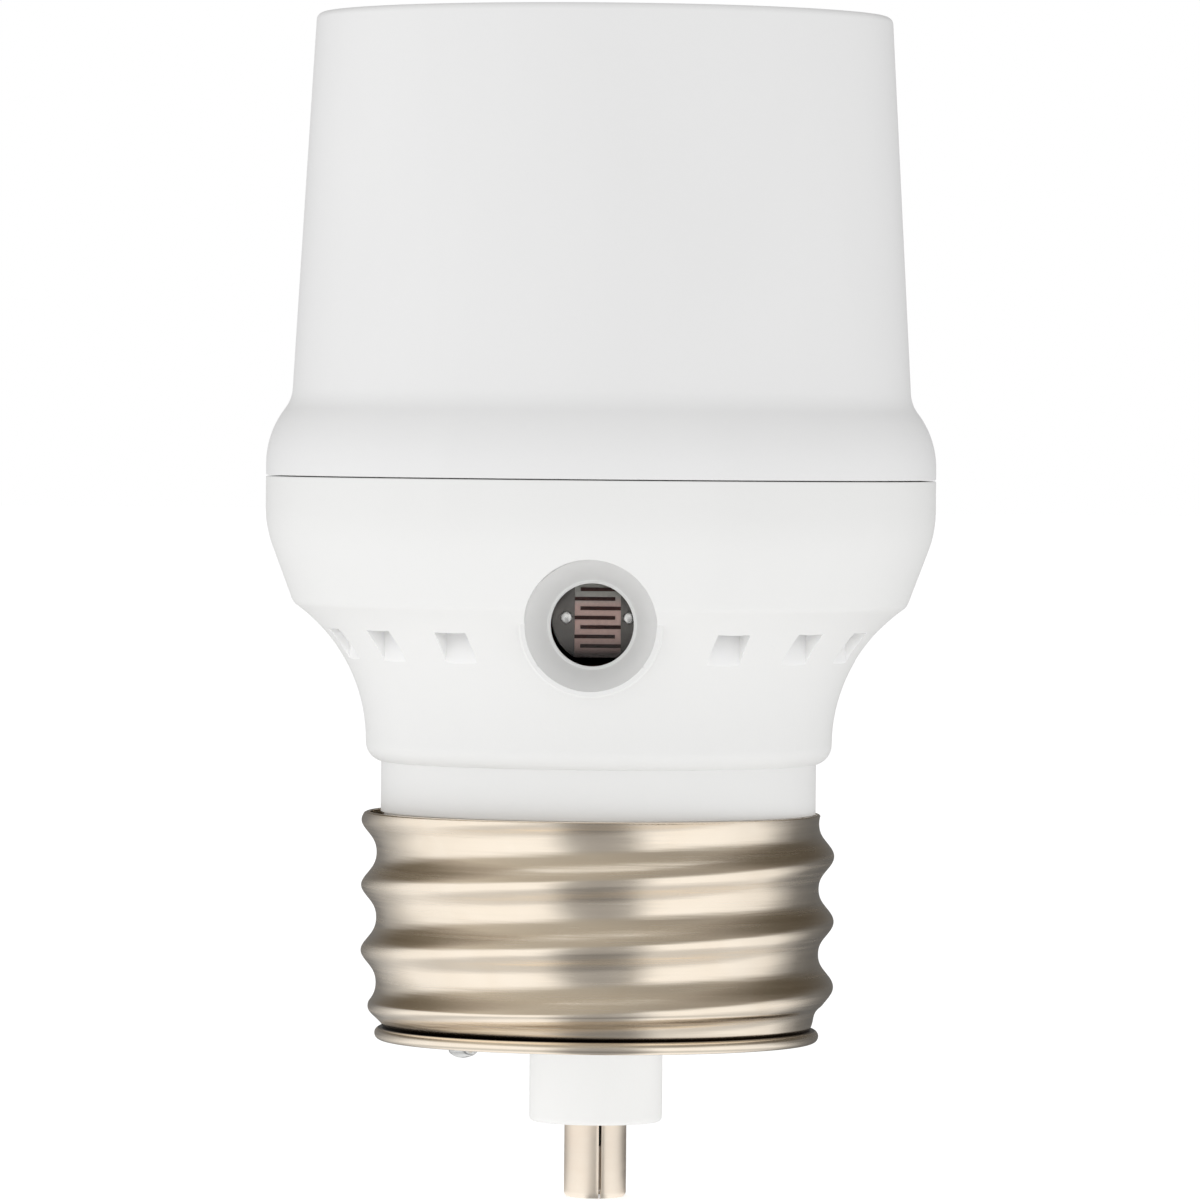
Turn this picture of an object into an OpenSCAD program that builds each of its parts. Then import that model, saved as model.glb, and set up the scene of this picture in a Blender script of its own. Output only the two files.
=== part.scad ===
// Photocell switch for a lamp: E26 screw base below, E26 lamp socket above, light sensor in the side.
// Millimetres. Z is the axis of the base, pointing up into the lamp socket, and z = 0 is the tip of
// the centre contact. The photocell looks out along -Y.

/* [Screw base] */
// Outer diameter over the crests of the base thread
base_major_d = 26.3; // [25.5:0.05:27.5]
// Height of the thread from root to crest, for both threads
thread_depth = 0.85; // [0.5:0.05:1]
// Share by which the crests are narrower than the roots
crest_share = 0.14; // [0:0.01:0.2]
// Rise of both threads in one turn
thread_pitch = 3.629; // [3:0.001:4.5]
// Drop from the top edge of a threaded shell to the first crest on its left side, at -X
crest_drop = 0.53; // [0:0.01:3]
// Length of the threaded base shell with its lip
base_len = 12.7; // [11:0.1:16]
// Sheet of the base shell
base_sheet = 0.3; // [0.2:0.05:0.4]
// Step from the crests of the thread in to the lip at the foot of the base shell
lip_step = 0.8; // [0.5:0.05:1]
// Width of the flange that the lip turns in under the plug
lip_flange = 1.14; // [0.8:0.02:1.6]
// Height of the rolled lip, which is half round outside
lip_h = 0.7; // [0.6:0.05:0.9]
// Width of the groove between the lip and the thread
groove_w = 0.2; // [0.1:0.05:0.4]
// Depth of the groove below the lip
groove_depth = 0.5; // [0.45:0.01:0.6]
// Height over which the thread fades into the groove
thread_fade = 1; // [0.8:0.1:1.6]
// Direction of the solder joint on the lip, counter-clockwise from +X
solder_angle = 231.6; // [0:0.1:360]
// Radius of the solder joint on the lip
solder_r = 0.9; // [0.5:0.05:1.1]
// Height of the solder joint on the lip
solder_h = 0.45; // [0.2:0.05:0.8]

/* [Contact pin] */
// Diameter of the centre contact
pin_d = 3.45; // [2.5:0.05:4.5]
// Length of the centre contact below the stem
pin_len = 4.2; // [2:0.1:7]
// Sheet that the centre contact is rolled from
pin_sheet = 0.35; // [0.2:0.05:0.5]
// Width of the seam in the rolled contact
pin_seam = 0.22; // [0.1:0.02:0.5]
// Direction of that seam, counter-clockwise from +X
pin_seam_angle = 281; // [0:1:360]
// Rounding of the contact's tip
pin_round = 0.3; // [0.1:0.05:0.34]
// Height of the solder in the contact's foot
pin_solder_h = 2.6; // [1:0.1:4]
// Diameter of the white stem around the centre contact
stem_d = 7.4; // [6:0.1:9]
// Length of the stem below the base shell
stem_len = 4.5; // [3:0.1:8]
// Bevel at the foot of the stem
stem_bevel = 0.35; // [0.1:0.05:0.6]
// Thickness of the disc that closes the base shell
plug_t = 2; // [1.8:0.1:3]

/* [Lower housing] */
// Wall of the housing
wall = 1.6; // [1.2:0.1:2]
// Wall of the sleeve inside the base shell
sleeve_wall = 1.5; // [1.2:0.1:2]
// Height of the plain neck between the base shell and the collar
neck_len = 2.63; // [1.5:0.05:4]
// Step from the sleeve to the neck
neck_step = 0.19; // [0.1:0.01:0.3]
// Step from the neck out to the collar
collar_step = 0.86; // [0.4:0.02:1.2]
// Rounding of the collar's lower edge
collar_round = 1.1; // [0.9:0.1:1.4]
// Height of the collar with its rounding
collar_len = 1.22; // [1.2:0.02:3]
// Height of the hollow curve from the collar to the edge of the bulge
cove_h = 7.7; // [6.5:0.1:10]
// Height from that edge to the straight band at the seam
cone_h = 5.25; // [4.5:0.05:7]
// Lean of the bulge's lower side from upright
cone_angle = 20.5; // [15:0.5:24]
// Radius that rounds the bulge into the straight band
belly_r = 6; // [4:0.1:8]
// Height of the straight band below the seam
band_h = 1.75; // [1.4:0.05:3]
// Open line at the seam
seam_gap = 0.06; // [0.05:0.01:0.2]

/* [Vents] */
// Places for vents around the whole circle, the two nearest the sensor left out
vent_places = 18; // [14:1:20]
// Width of one vent
vent_w = 2; // [1.2:0.1:2.6]
// Length of one vent, measured outwards
vent_len = 1.25; // [0.6:0.05:1.4]
// Distance of the vents' outer ends from the edge of the bulge
vent_inset = 1.6; // [1.4:0.05:2.4]

/* [Sensor window] */
// Depth of the window's centre below the edge of the bulge
eye_drop = 0.85; // [0.2:0.05:1.5]
// Diameter of the funnel at its mouth
eye_d = 7.2; // [6:0.1:8]
// Width of the rim around the funnel
eye_rim = 0.3; // [0.2:0.05:0.6]
// Distance of the funnel's mouth behind the edge of the bulge
eye_setback = 1.45; // [0.8:0.05:2]
// Depth of the funnel
eye_depth = 2.4; // [1.5:0.1:3]
// Diameter of the throat that the sensor shows through
throat_d = 4.5; // [4:0.1:5]
// Length of the throat
throat_len = 0.4; // [0.3:0.05:1]
// Length of the sensor's pocket behind the throat
pocket_len = 2.3; // [2:0.1:3.5]

/* [Photocell] */
// Diameter of the photocell
cell_d = 5; // [4.6:0.1:5.4]
// Height of the photocell between its two flats
cell_h = 4.3; // [3.8:0.1:4.5]
// Thickness of the ceramic disc
cell_t = 1.3; // [0.8:0.1:1.6]
// Thickness of the clear resin over its face
coat_t = 0.35; // [0.2:0.05:0.6]
// Thickness of the metal film
film_t = 0.06; // [0.04:0.01:0.1]
// Sideways shift of the photocell in its pocket
cell_dx = 0.28; // [0:0.02:0.4]
// Upward shift of the photocell in its pocket
cell_dz = 0.38; // [0:0.02:0.5]
// Distance between the two leads
lead_pitch = 3.4; // [3:0.1:3.6]
// Diameter of a lead, on the photocell and on the other parts
lead_d = 0.6; // [0.4:0.05:0.8]
// Width of the winding track between the two metal pads
track_w = 2.5; // [2:0.1:2.6]
// Distance from one bar of the track to the next
track_step = 0.51; // [0.4:0.01:0.6]
// Width of a metal finger between two bars
finger_w = 0.15; // [0.08:0.01:0.25]
// Number of metal fingers
fingers = 7; // [5:1:7]

/* [Lamp socket] */
// Inner diameter over the crests of the socket thread
socket_major_d = 26.9; // [26.4:0.05:28]
// Sheet of the socket shell
socket_sheet = 0.35; // [0.25:0.05:0.5]
// Height of the socket shell
socket_len = 18.2; // [14:0.1:20]
// Width of the flange at the foot of the socket shell
socket_flange = 3.1; // [2.6:0.1:4]
// Radial room between the socket shell and the cup
mouth_gap = 0.6; // [0.3:0.05:1]
// Step from the mouth out to the wider bore behind the socket shell
bore_step = 0.3; // [0.2:0.05:0.6]
// Wall of the cup at its rim
cup_wall = 1.6; // [1.2:0.1:2.2]
// Height of the shroud from the seam to the rim
shroud_h = 25.65; // [23:0.05:32]
// Draft of the cup's outside
cup_draft = 3.2; // [1:0.1:5]
// Rounding of the rim
rim_round = 0.4; // [0.2:0.05:0.6]
// Height of the straight band above the seam
skirt_band = 0.65; // [0.4:0.05:1.5]
// Radius that rounds the shroud over above the band
flare_r = 5; // [4:0.1:6]
// Lean at which that rounding ends
flare_angle = 37.5; // [30:0.5:42]
// Radius of the hollow corner between the flare and the cup
fillet_r = 2; // [1:0.1:3]
// Length of the shroud's spigot inside the lower housing
spigot_len = 1.1; // [0.8:0.05:1.4]
// Ledge inside the shroud that the socket base bears on
shoulder_w = 0.7; // [0.6:0.05:0.9]
// Height of that ledge over the seam
shoulder_rise = 2.75; // [2.4:0.05:3]
// Thickness of the socket base
disc_t = 1.8; // [1.4:0.1:2]
// Rivet diameter
rivet_d = 1.8; // [1.2:0.1:2.2]
// Diameter of a rivet's heads
rivet_head_d = 3; // [2.6:0.1:3]
// Height of a rivet's heads
rivet_head_h = 0.6; // [0.4:0.05:0.8]
// Thickness of the lamp contact
tongue_t = 0.4; // [0.3:0.05:0.6]
// Width of the lamp contact
tongue_w = 5; // [4:0.1:6]
// Rise of the lamp contact over the socket base
tongue_rise = 3.6; // [2.5:0.1:4.5]
// Reach of the lamp contact past the axis
tongue_reach = 1.4; // [0.8:0.1:2]
// Distance of the contact's rivet from the axis
tongue_rivet_y = 5.9; // [5.4:0.1:6.4]

/* [Electronics] */
// Thickness of the circuit board
board_t = 1.6; // [1.2:0.1:2]
// Depth of the board's underside below the seam
board_drop = 3.75; // [3.6:0.05:3.9]
// Width of a post that carries the board and the socket base
post_w = 1.6; // [1.2:0.1:2]
// Width of the ledge on a post under the board
post_ledge = 0.9; // [0.6:0.05:1]
// Thickness of a post, measured outwards, beside the board
post_t = 1.3; // [1.1:0.05:1.5]
// Distance of the lying parts' bodies from the board
part_gap = 0.3; // [0.2:0.05:0.6]
// Length of a lead beyond the board
lead_end = 0.6; // [0.4:0.05:0.8]
// Width of the film capacitor
film_cap_w = 9; // [8:0.1:9.4]
// Thickness of the film capacitor
film_cap_t = 4.2; // [3.5:0.1:4.4]
// Height of the film capacitor
film_cap_h = 7.5; // [6:0.1:8]
// Diameter of the electrolytic capacitor
can_d = 5; // [4:0.1:5.2]
// Height of the electrolytic capacitor
can_h = 8; // [6:0.1:9]
// Width of the body of a three-legged semiconductor
transistor_d = 4.8; // [4.5:0.1:5]
// Height of that body
transistor_h = 4.6; // [4:0.1:5]
// Length of its legs below the board
transistor_leg = 1.8; // [1:0.1:2.4]
// Diameter of a rectifier diode's body
diode_d = 2.7; // [2:0.1:2.8]
// Length of a rectifier diode's body
diode_l = 5.2; // [4:0.1:5.4]
// Diameter of a small lying part, a resistor or a zener diode
small_d = 1.8; // [1.4:0.1:2]
// Length of a small lying part
small_l = 3.6; // [3:0.1:4]
// Diameter of a wire with its insulation
wire_d = 1.2; // [0.9:0.05:1.3]

/* [Hidden] */
$fn = 64;

// Clearances between pieces
slip = 0.1;
press = 0.02;
lead_slip = 0.12;
// Overshoot of a cutting shape past the face that it cuts
past = 1;
// Angle of one flat in which a rounded stretch of an outline is drawn, steps of a helix round and along,
// and flats of the rolled lip
arc_step = 5;
turn_steps = 30;
pitch_steps = 9;
bead_flats = 6;
wire_sides = 8;
route_steps = 3;
// Direction that the corners of a wire's rings are counted from, level and along no other direction used
ring_start = [1, 0.4, 0];

// Heights of the base, from the tip of the contact upwards
z_lip = pin_len + stem_len;
z_plug = z_lip + base_sheet;
z_sleeve = z_plug + plug_t;
z_base_top = z_lip + base_len;
z_collar = z_base_top + neck_len;
z_cove = z_collar + collar_len;
z_edge = z_cove + cove_h;
z_band = z_edge + cone_h;
z_seam = z_band + band_h;

// Heights of the shroud
z_skirt = z_seam + seam_gap;
z_flare = z_skirt + skirt_band;
z_shoulder = z_skirt + shoulder_rise;
z_disc = z_shoulder - disc_t;
z_kink = z_flare + flare_r * sin(flare_angle) + fillet_r * (sin(flare_angle) - sin(cup_draft));
z_rim = z_skirt + shroud_h;

// Radii of the base, from the thread inwards and then out along the neck
base_mean_r = base_major_d / 2 - thread_depth / 2;
lip_r = base_major_d / 2 - lip_step;
base_root_in_r = base_major_d / 2 - thread_depth - base_sheet;
sleeve_r = base_root_in_r - slip;
sleeve_bore_r = sleeve_r - sleeve_wall;
neck_r = sleeve_r + neck_step;
collar_r = neck_r + collar_step;
groove_r = lip_r - groove_depth;
flange_bore_r = lip_r - lip_flange;
plug_r = groove_r - base_sheet - slip;

// Radii of the shroud, from the socket thread outwards to the band at the seam
socket_minor_r = socket_major_d / 2 - thread_depth;
mouth_r = socket_major_d / 2 + socket_sheet + mouth_gap;
rim_r = mouth_r + cup_wall;
kink_r = rim_r + (z_rim - z_kink) * tan(cup_draft);
flare_end_r = kink_r + fillet_r * (cos(cup_draft) - cos(flare_angle));
band_r = flare_end_r + flare_r * (1 - cos(flare_angle));
cup_bore_r = mouth_r + bore_step;
z_mouth = z_shoulder + socket_len + slip;
recess_r = cup_bore_r + shoulder_w;
disc_r = recess_r - slip;
spigot_r = band_r - wall - slip;

// The bulge and the hollow curve under it: the curve is upright at the collar and ends at the edge
cone_top_r = band_r - belly_r * (1 - cos(cone_angle));
z_cone_top = z_band - belly_r * sin(cone_angle);
edge_r = cone_top_r - (z_cone_top - z_edge) * tan(cone_angle);
cove_out = edge_r - collar_r;
cove_r = (pow(cove_out, 2) + pow(cove_h, 2)) / (2 * cove_out);
cove_centre = [collar_r + cove_r, z_cove];

// The hollow inside follows the bulge and the cove one wall further in, and this is where the two meet
hollow_cove_r = cove_r + wall;
hollow_foot_r = edge_r - wall / cos(cone_angle) - cove_h * tan(cone_angle);
hollow_lean = tan(cone_angle);
hollow_gap = cove_centre[0] - hollow_foot_r;
hollow_meet = (hollow_lean * hollow_gap + sqrt((1 + pow(hollow_lean, 2)) * pow(hollow_cove_r, 2)
    - pow(hollow_gap, 2))) / (1 + pow(hollow_lean, 2));

// The window: its axis is level, and its faces are numbered outside in
eye_z = z_edge - eye_drop;
eye_y = edge_r - eye_setback;
throat_y = eye_y - eye_depth;
cell_y = throat_y - throat_len;
boss_end_y = cell_y - pocket_len;
boss_r = eye_d / 2 + eye_rim;
cell_pocket_r = cell_d / 2 + norm([cell_dx, cell_dz]) + slip / 2;
film_y = cell_y - coat_t;
ceramic_y = film_y - film_t;
cell_back_y = ceramic_y - cell_t;

// The board and what stands on it
z_board = z_seam - board_drop;
z_board_top = z_board + board_t;
z_tail = z_disc - rivet_head_h;
post_r = disc_r - slip - post_t;
board_r = post_r - slip;
vent_step = 360 / vent_places;
// Each post stands midway between two vents, counted from the window
post_angles = [for (i = [-6, -2, 2, 6]) 270 + i * vent_step];
cell_lead_run = 0.9;
cell_lead_y = cell_lead_run - boss_end_y;
// Places on the board, as shares of its radius
film_cap_at = board_r * [0, 0.413];
can_at = board_r * [-0.406, -0.145];
thyristor_at = board_r * [0.42, -0.16];
driver_at = board_r * [0, 0.043];
zener_at = board_r * [0, -0.377];
live_pad = board_r * [0.16, -0.507];
diode_ring_r = board_r * 0.812;
diode_angles = [21, 67, 113, 159];
resistor_angles = [205, 335];
film_cap_pitch = 7.5;
can_lead_pitch = 2;
leg_pitch = 1.27;
lead_bend = 0.9;
lead_root = 0.3;
solder_foot = 0.3;
solder_tip = 0.05;
// Bends of the live wire: share of the way out to its pad, and of the way up to the board
live_bends = [[0, 0], [0.1, 0.25], [0.5, 0.5], [0.9, 0.75], [1, 1]];
// How far a short wire's foot on the board stands aside from the rivet above it
wire_lean = [0.5, -0.6];
shell_rivet_x = socket_minor_r - socket_flange / 2;
neutral_r = flange_bore_r - wire_d / 2 - slip / 2;
neutral_at = neutral_r * [cos(solder_angle), sin(solder_angle)];

// Places of the leads that come through the board
diode_spots = [for (a = diode_angles) each lying_spots(diode_ring_r * [cos(a), sin(a)], a + 90, diode_l)];
resistor_spots =
    [for (a = resistor_angles) each lying_spots(diode_ring_r * [cos(a), sin(a)], a + 90, small_l)];
zener_spots = lying_spots(zener_at, 90, small_l);
cell_spots = [for (s = [-1, 1]) [cell_dx + s * lead_pitch / 2, cell_lead_y]];
film_cap_spots = [for (s = [-1, 1]) film_cap_at + [s * film_cap_pitch / 2, 0]];
can_spots = [for (s = [-1, 1]) can_at + [0, s * can_lead_pitch / 2]];
thyristor_spots = leg_spots(thyristor_at);
driver_spots = leg_spots(driver_at);
all_spots = concat(diode_spots, resistor_spots, zener_spots, cell_spots, film_cap_spots, can_spots,
    thyristor_spots, driver_spots);

function lying_spots(at, angle, body_l) =
    [for (s = [-1, 1]) at + s * (body_l / 2 + lead_bend) * [cos(angle), sin(angle)]];
function leg_spots(at) = [for (s = [-1, 0, 1]) at + [s * leg_pitch, 0]];

// Points of an arc about a centre, from one angle to another
function arc(centre, r, from, to) =
    let (flats = ceil(abs(to - from) / arc_step))
    [for (i = [0:flats]) let (a = from + (to - from) * i / flats) centre + r * [cos(a), sin(a)]];

// Smooth step from 0 to 1 as t goes from 0 to 1
function eased(t) = let (u = min(max(t, 0), 1)) u * u * (3 - 2 * u);

// A closed outline [r, z, wave] carried once round the axis: wave is how far the thread moves that point,
// and z_top is the edge that the thread's first crest is counted down from
function swept_points(outline, z_top) =
    [for (i = [0:turn_steps - 1], p = outline)
        let (a = 360 * i / turn_steps,
            turned = 360 * (p[1] - z_top + crest_drop) / thread_pitch,
            wave = cos(a - turned + 180) + crest_share * (cos(2 * (a - turned)) - 1),
            r = p[0] + p[2] * wave)
        [r * cos(a), r * sin(a), p[1]]];
function swept_faces(n) =
    [for (i = [0:turn_steps - 1], j = [0:n - 1], half = [0, 1])
        let (i2 = (i + 1) % turn_steps, j2 = (j + 1) % n)
        half == 0 ? [i * n + j, i * n + j2, i2 * n + j2] : [i * n + j, i2 * n + j2, i2 * n + j]];

module swept_sheet(outline, z_top) {
    polyhedron(points = swept_points(outline, z_top), faces = swept_faces(len(outline)));
}

// A smooth route through chosen points, and a round tube along it
function blend_at(a, b, c, d, t) =
    b + 0.5 * t * (c - a + t * (2 * a - 5 * b + 4 * c - d + t * (3 * (b - c) + d - a)));
function route(p) =
    let (last = len(p) - 1)
    concat([for (i = [0:last - 1], k = [0:route_steps - 1])
        blend_at(p[max(i - 1, 0)], p[i], p[i + 1], p[min(i + 2, last)], k / route_steps)], [p[last]]);
function unit(v) = v / norm(v);
function ring_at(p, heading, r) =
    let (u = unit(cross(heading, ring_start)), v = cross(heading, u))
    [for (k = [0:wire_sides - 1]) let (a = 360 * k / wire_sides) p + r * (cos(a) * u + sin(a) * v)];
function tube_faces(rings) =
    let (n = wire_sides)
    concat(
        [[for (k = [0:n - 1]) n - 1 - k]],
        [for (i = [0:rings - 2], k = [0:n - 1])
            [i * n + k, i * n + (k + 1) % n, (i + 1) * n + (k + 1) % n, (i + 1) * n + k]],
        [[for (k = [0:n - 1]) (rings - 1) * n + k]]);

module wire(chosen) {
    path = route(chosen);
    last = len(path) - 1;
    // The first and last rings are level, so a wire ends flat on what it meets
    headings = [for (i = [0:last])
        i == 0 || i == last ? [0, 0, sign(path[last][2] - path[0][2])] : unit(path[i + 1] - path[i - 1])];
    points = [for (i = [0:last]) each ring_at(path[i], headings[i], wire_d / 2)];
    polyhedron(points = points, faces = tube_faces(last + 1));
}

// Shroud

// The cup, the flare and the spigot are one profile turned about the axis
module shroud_profile() {
    rim_centre = [rim_r - rim_round, z_rim - rim_round];
    polygon(concat(
        [[mouth_r, z_mouth], [cup_bore_r, z_mouth], [cup_bore_r, z_shoulder]],
        [[recess_r, z_shoulder], [recess_r, z_seam - spigot_len]],
        [[spigot_r, z_seam - spigot_len], [spigot_r, z_skirt], [band_r, z_skirt]],
        arc([band_r - flare_r, z_flare], flare_r, 0, flare_angle),
        arc([kink_r + fillet_r * cos(cup_draft), z_kink + fillet_r * sin(cup_draft)], fillet_r,
            180 + flare_angle, 180 + cup_draft),
        arc(rim_centre, rim_round, cup_draft, 90),
        [[mouth_r + rim_round, z_rim], [mouth_r, z_rim - rim_round]]));
}

module socket_shroud() {
    color("gainsboro") rotate_extrude() shroud_profile();
}

// Lower housing

// The housing's solid outline: the sleeve and neck, the collar, the cove, the bulge and the band
module housing_outline() {
    collar_centre = [collar_r - collar_round, z_cove];
    collar_foot = -acos((neck_r - collar_centre[0]) / collar_round);
    polygon(concat(
        [[0, z_sleeve], [sleeve_r, z_sleeve], [sleeve_r, z_base_top], [neck_r, z_base_top]],
        arc(collar_centre, collar_round, collar_foot, 0),
        arc(cove_centre, cove_r, 180 - arc_step, 180 - asin(cove_h / cove_r)),
        arc([band_r - belly_r, z_band], belly_r, -cone_angle, 0),
        [[band_r, z_seam], [0, z_seam]]));
}

// The hollow: the bore of the sleeve, the inside of the cove and the inside of the bulge
module housing_hollow() {
    polygon(concat(
        [[0, z_sleeve - past], [sleeve_bore_r, z_sleeve - past], [sleeve_bore_r, z_cove]],
        arc(cove_centre, hollow_cove_r, 180, 180 - asin(hollow_meet / hollow_cove_r)),
        arc([band_r - belly_r, z_band], belly_r - wall, -cone_angle, 0),
        [[band_r - wall, z_seam + past], [0, z_seam + past]]));
}

// The ring of vents: slots drawn through the wall of the cove along the axis
module vent_slots() {
    inner_r = edge_r - vent_inset - vent_len;
    for (i = [1:vent_places - 2])
        rotate(270 + vent_step / 2 + i * vent_step)
            translate([inner_r, -vent_w / 2, z_cove]) cube([vent_len, vent_w, cove_h + wall]);
}

// Posts that carry the board on a ledge
module posts() {
    for (a = post_angles)
        rotate(a)
            translate([post_r - post_ledge, -post_w / 2, z_cove]) cube([band_r, post_w, z_board - z_cove]);
}

// Their tops stand up beside the board and press the socket base against its shoulder
module post_tops() {
    for (a = post_angles)
        rotate(a)
            translate([post_r, -post_w / 2, z_board - press])
                cube([post_t, post_w, z_disc - z_board + press]);
}

// Level cylinder on the window's axis, between two distances from the axis of the base
module eye_cylinder(from_y, to_y, r_from, r_to) {
    translate([0, -from_y, eye_z]) rotate([-90, 0, 0]) cylinder(h = from_y - to_y, r1 = r_from, r2 = r_to);
}

module eye_cuts() {
    mouth = eye_d / 2;
    throat = throat_d / 2;
    eye_cylinder(eye_y + band_r, eye_y, mouth, mouth);
    eye_cylinder(eye_y, throat_y, mouth, throat);
    eye_cylinder(throat_y + press, cell_y - press, throat, throat);
    eye_cylinder(cell_y, boss_end_y - past, cell_pocket_r, cell_pocket_r);
}

// Channel in the sleeve for the wire to the lip
module wire_channel() {
    translate([neutral_at[0], neutral_at[1], z_sleeve - past])
        cylinder(h = z_cove - z_sleeve + 2 * past, r = wire_d / 2 + slip);
}

// The window's boss, inside the housing and out
module eye_boss() {
    eye_cylinder(eye_y, boss_end_y, boss_r, boss_r);
}

module lower_housing() {
    color("whitesmoke") difference() {
        union() {
            rotate_extrude() housing_outline();
            eye_boss();
            post_tops();
        }
        difference() {
            rotate_extrude() housing_hollow();
            posts();
            post_tops();
            eye_boss();
        }
        eye_cuts();
        vent_slots();
        wire_channel();
    }
}

// Screw base

// The sheet of the base shell as one closed outline: flange, lip and groove, the outer face of the
// thread going up and its inner face coming down
module base_screw_shell() {
    z_groove = z_lip + lip_h + groove_w;
    bead_r = lip_h / 2;
    bead = [for (i = [0:bead_flats])
        let (a = 180 * i / bead_flats - 90)
        [lip_r - bead_r + bead_r * cos(a), z_lip + bead_r + bead_r * sin(a), 0]];
    steps =ceil((z_base_top - z_groove) / thread_pitch * pitch_steps);
    up = [for (i = [0:steps])
        let (z = z_groove + (z_base_top - z_groove) * i / steps, w = eased((z - z_groove) / thread_fade))
        [groove_r + (base_mean_r - groove_r) * w, z, w * thread_depth / 2]];
    down = [for (i = [steps:-1:0]) up[i] - [base_sheet, 0, 0]];
    outline = concat(
        [[flange_bore_r, z_lip, 0]],
        bead,
        [[groove_r, z_lip + lip_h, 0]],
        up,
        down,
        [[groove_r - base_sheet, z_plug, 0], [flange_bore_r, z_plug, 0]]);
    color("tan") swept_sheet(outline, z_base_top);
}

module neutral_solder() {
    at = (lip_r - lip_h / 4 - solder_r) * [cos(solder_angle), sin(solder_angle)];
    ball_r = (pow(solder_r, 2) + pow(solder_h, 2)) / (2 * solder_h);
    color("lightgray") intersection() {
        translate([at[0], at[1], z_lip - solder_h + ball_r]) sphere(ball_r);
        translate([at[0], at[1], z_lip - ball_r]) cylinder(h = ball_r, r = solder_r + past);
    }
}

module base_plug() {
    color("white") difference() {
        rotate_extrude() polygon([
            [pin_d / 2 + press, pin_len], [stem_d / 2 - stem_bevel, pin_len],
            [stem_d / 2, pin_len + stem_bevel], [stem_d / 2, z_plug], [plug_r, z_plug],
            [plug_r, z_sleeve], [pin_d / 2 + press, z_sleeve]]);
        translate([neutral_at[0], neutral_at[1], z_plug - past])
            cylinder(h = plug_t + 2 * past, r = wire_d / 2 + slip);
    }
}

module contact_pin() {
    outer = pin_d / 2;
    color("wheat") difference() {
        rotate_extrude() polygon(concat(
            [[outer - pin_sheet, 0]],
            arc([outer - pin_round, pin_round], pin_round, -90, 0),
            [[outer, z_sleeve], [outer - pin_sheet, z_sleeve]]));
        rotate(pin_seam_angle)
            translate([0, -pin_seam / 2, -past]) cube([pin_d, pin_seam, z_sleeve + 2 * past]);
    }
}

module pin_solder() {
    color("silver") translate([0, 0, pin_round]) cylinder(h = pin_solder_h, r = pin_d / 2 - pin_sheet);
}

// Lamp socket

// The sheet of the socket shell: flange, then the outer face of the thread up and its inner face down
module socket_screw_shell() {
    z_foot = z_shoulder + socket_sheet;
    z_top = z_shoulder + socket_len;
    steps = ceil((z_top - z_foot) / thread_pitch * pitch_steps);
    down = [for (i = [steps:-1:0])
        let (z = z_foot + (z_top - z_foot) * i / steps, w = eased((z - z_foot) / thread_fade))
        [socket_minor_r + w * thread_depth / 2, z, w * thread_depth / 2]];
    up = [for (i = [steps:-1:0]) down[i] + [socket_sheet, 0, 0]];
    flange_r = socket_minor_r - socket_flange;
    outline = concat(
        [[flange_r, z_shoulder, 0], [socket_minor_r + socket_sheet, z_shoulder, 0]],
        up,
        down,
        [[flange_r, z_foot, 0]]);
    color("goldenrod") difference() {
        swept_sheet(outline, z_top);
        for (s = [-1, 1])
            translate([s * shell_rivet_x, 0, z_shoulder - past])
                cylinder(h = socket_sheet + 2 * past, r = rivet_d / 2 + press);
    }
}

module socket_base() {
    color("dimgray") difference() {
        translate([0, 0, z_disc]) cylinder(h = disc_t, r = disc_r);
        for (at = [[shell_rivet_x, 0], [-shell_rivet_x, 0], [0, tongue_rivet_y]])
            translate([at[0], at[1], z_disc - past]) cylinder(h = disc_t + 2 * past, r = rivet_d / 2 + press);
    }
}

// A rivet with a bevelled head on top of the stack that it clamps and another under the socket base
module rivet(at, stack) {
    shank = rivet_d / 2;
    head = rivet_head_d / 2;
    bevel = rivet_head_h / 2;
    z_head = z_disc + stack;
    translate([at[0], at[1], 0]) rotate_extrude() polygon([
        [0, z_tail], [head - bevel, z_tail], [head, z_tail + bevel], [head, z_disc], [shank, z_disc],
        [shank, z_head], [head, z_head], [head, z_head + bevel], [head - bevel, z_head + rivet_head_h],
        [0, z_head + rivet_head_h]]);
}

module contact_rivet() {
    color("peru") rivet([0, tongue_rivet_y], disc_t + tongue_t);
}

module shell_rivets() {
    color("darkgoldenrod") for (s = [-1, 1]) rivet([s * shell_rivet_x, 0], disc_t + socket_sheet);
}

// The tongue is one strip bent up from its riveted foot, over the axis and down again at its tip
module socket_contact() {
    head = rivet_head_d / 2;
    heel_y = tongue_rivet_y - head - tongue_t;
    toe_y = tongue_rivet_y + head + tongue_t;
    tip_y = -tongue_reach;
    nose = tongue_reach;
    lower = [
        [toe_y, 0],
        [heel_y, 0],
        [tip_y, tongue_rise - tongue_t],
        [tip_y - nose, tongue_rise - nose / 2]];
    upper = [for (p = lower) p + [0, tongue_t]];
    outline = concat(lower, [for (i = [len(upper) - 1:-1:0]) upper[i]]);
    color("darkkhaki") difference() {
        translate([-tongue_w / 2, 0, z_shoulder])
            rotate([90, 0, 90]) linear_extrude(tongue_w) polygon(outline);
        translate([0, tongue_rivet_y, z_shoulder - past])
            cylinder(h = tongue_t + 2 * past, r = rivet_d / 2 + press);
    }
}

// Photocell

// Round face with two flats, seen from the front, drawn about the photocell's own centre
module cell_face(r, h) {
    intersection() {
        circle(r);
        square([2 * r, h], center = true);
    }
}

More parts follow.
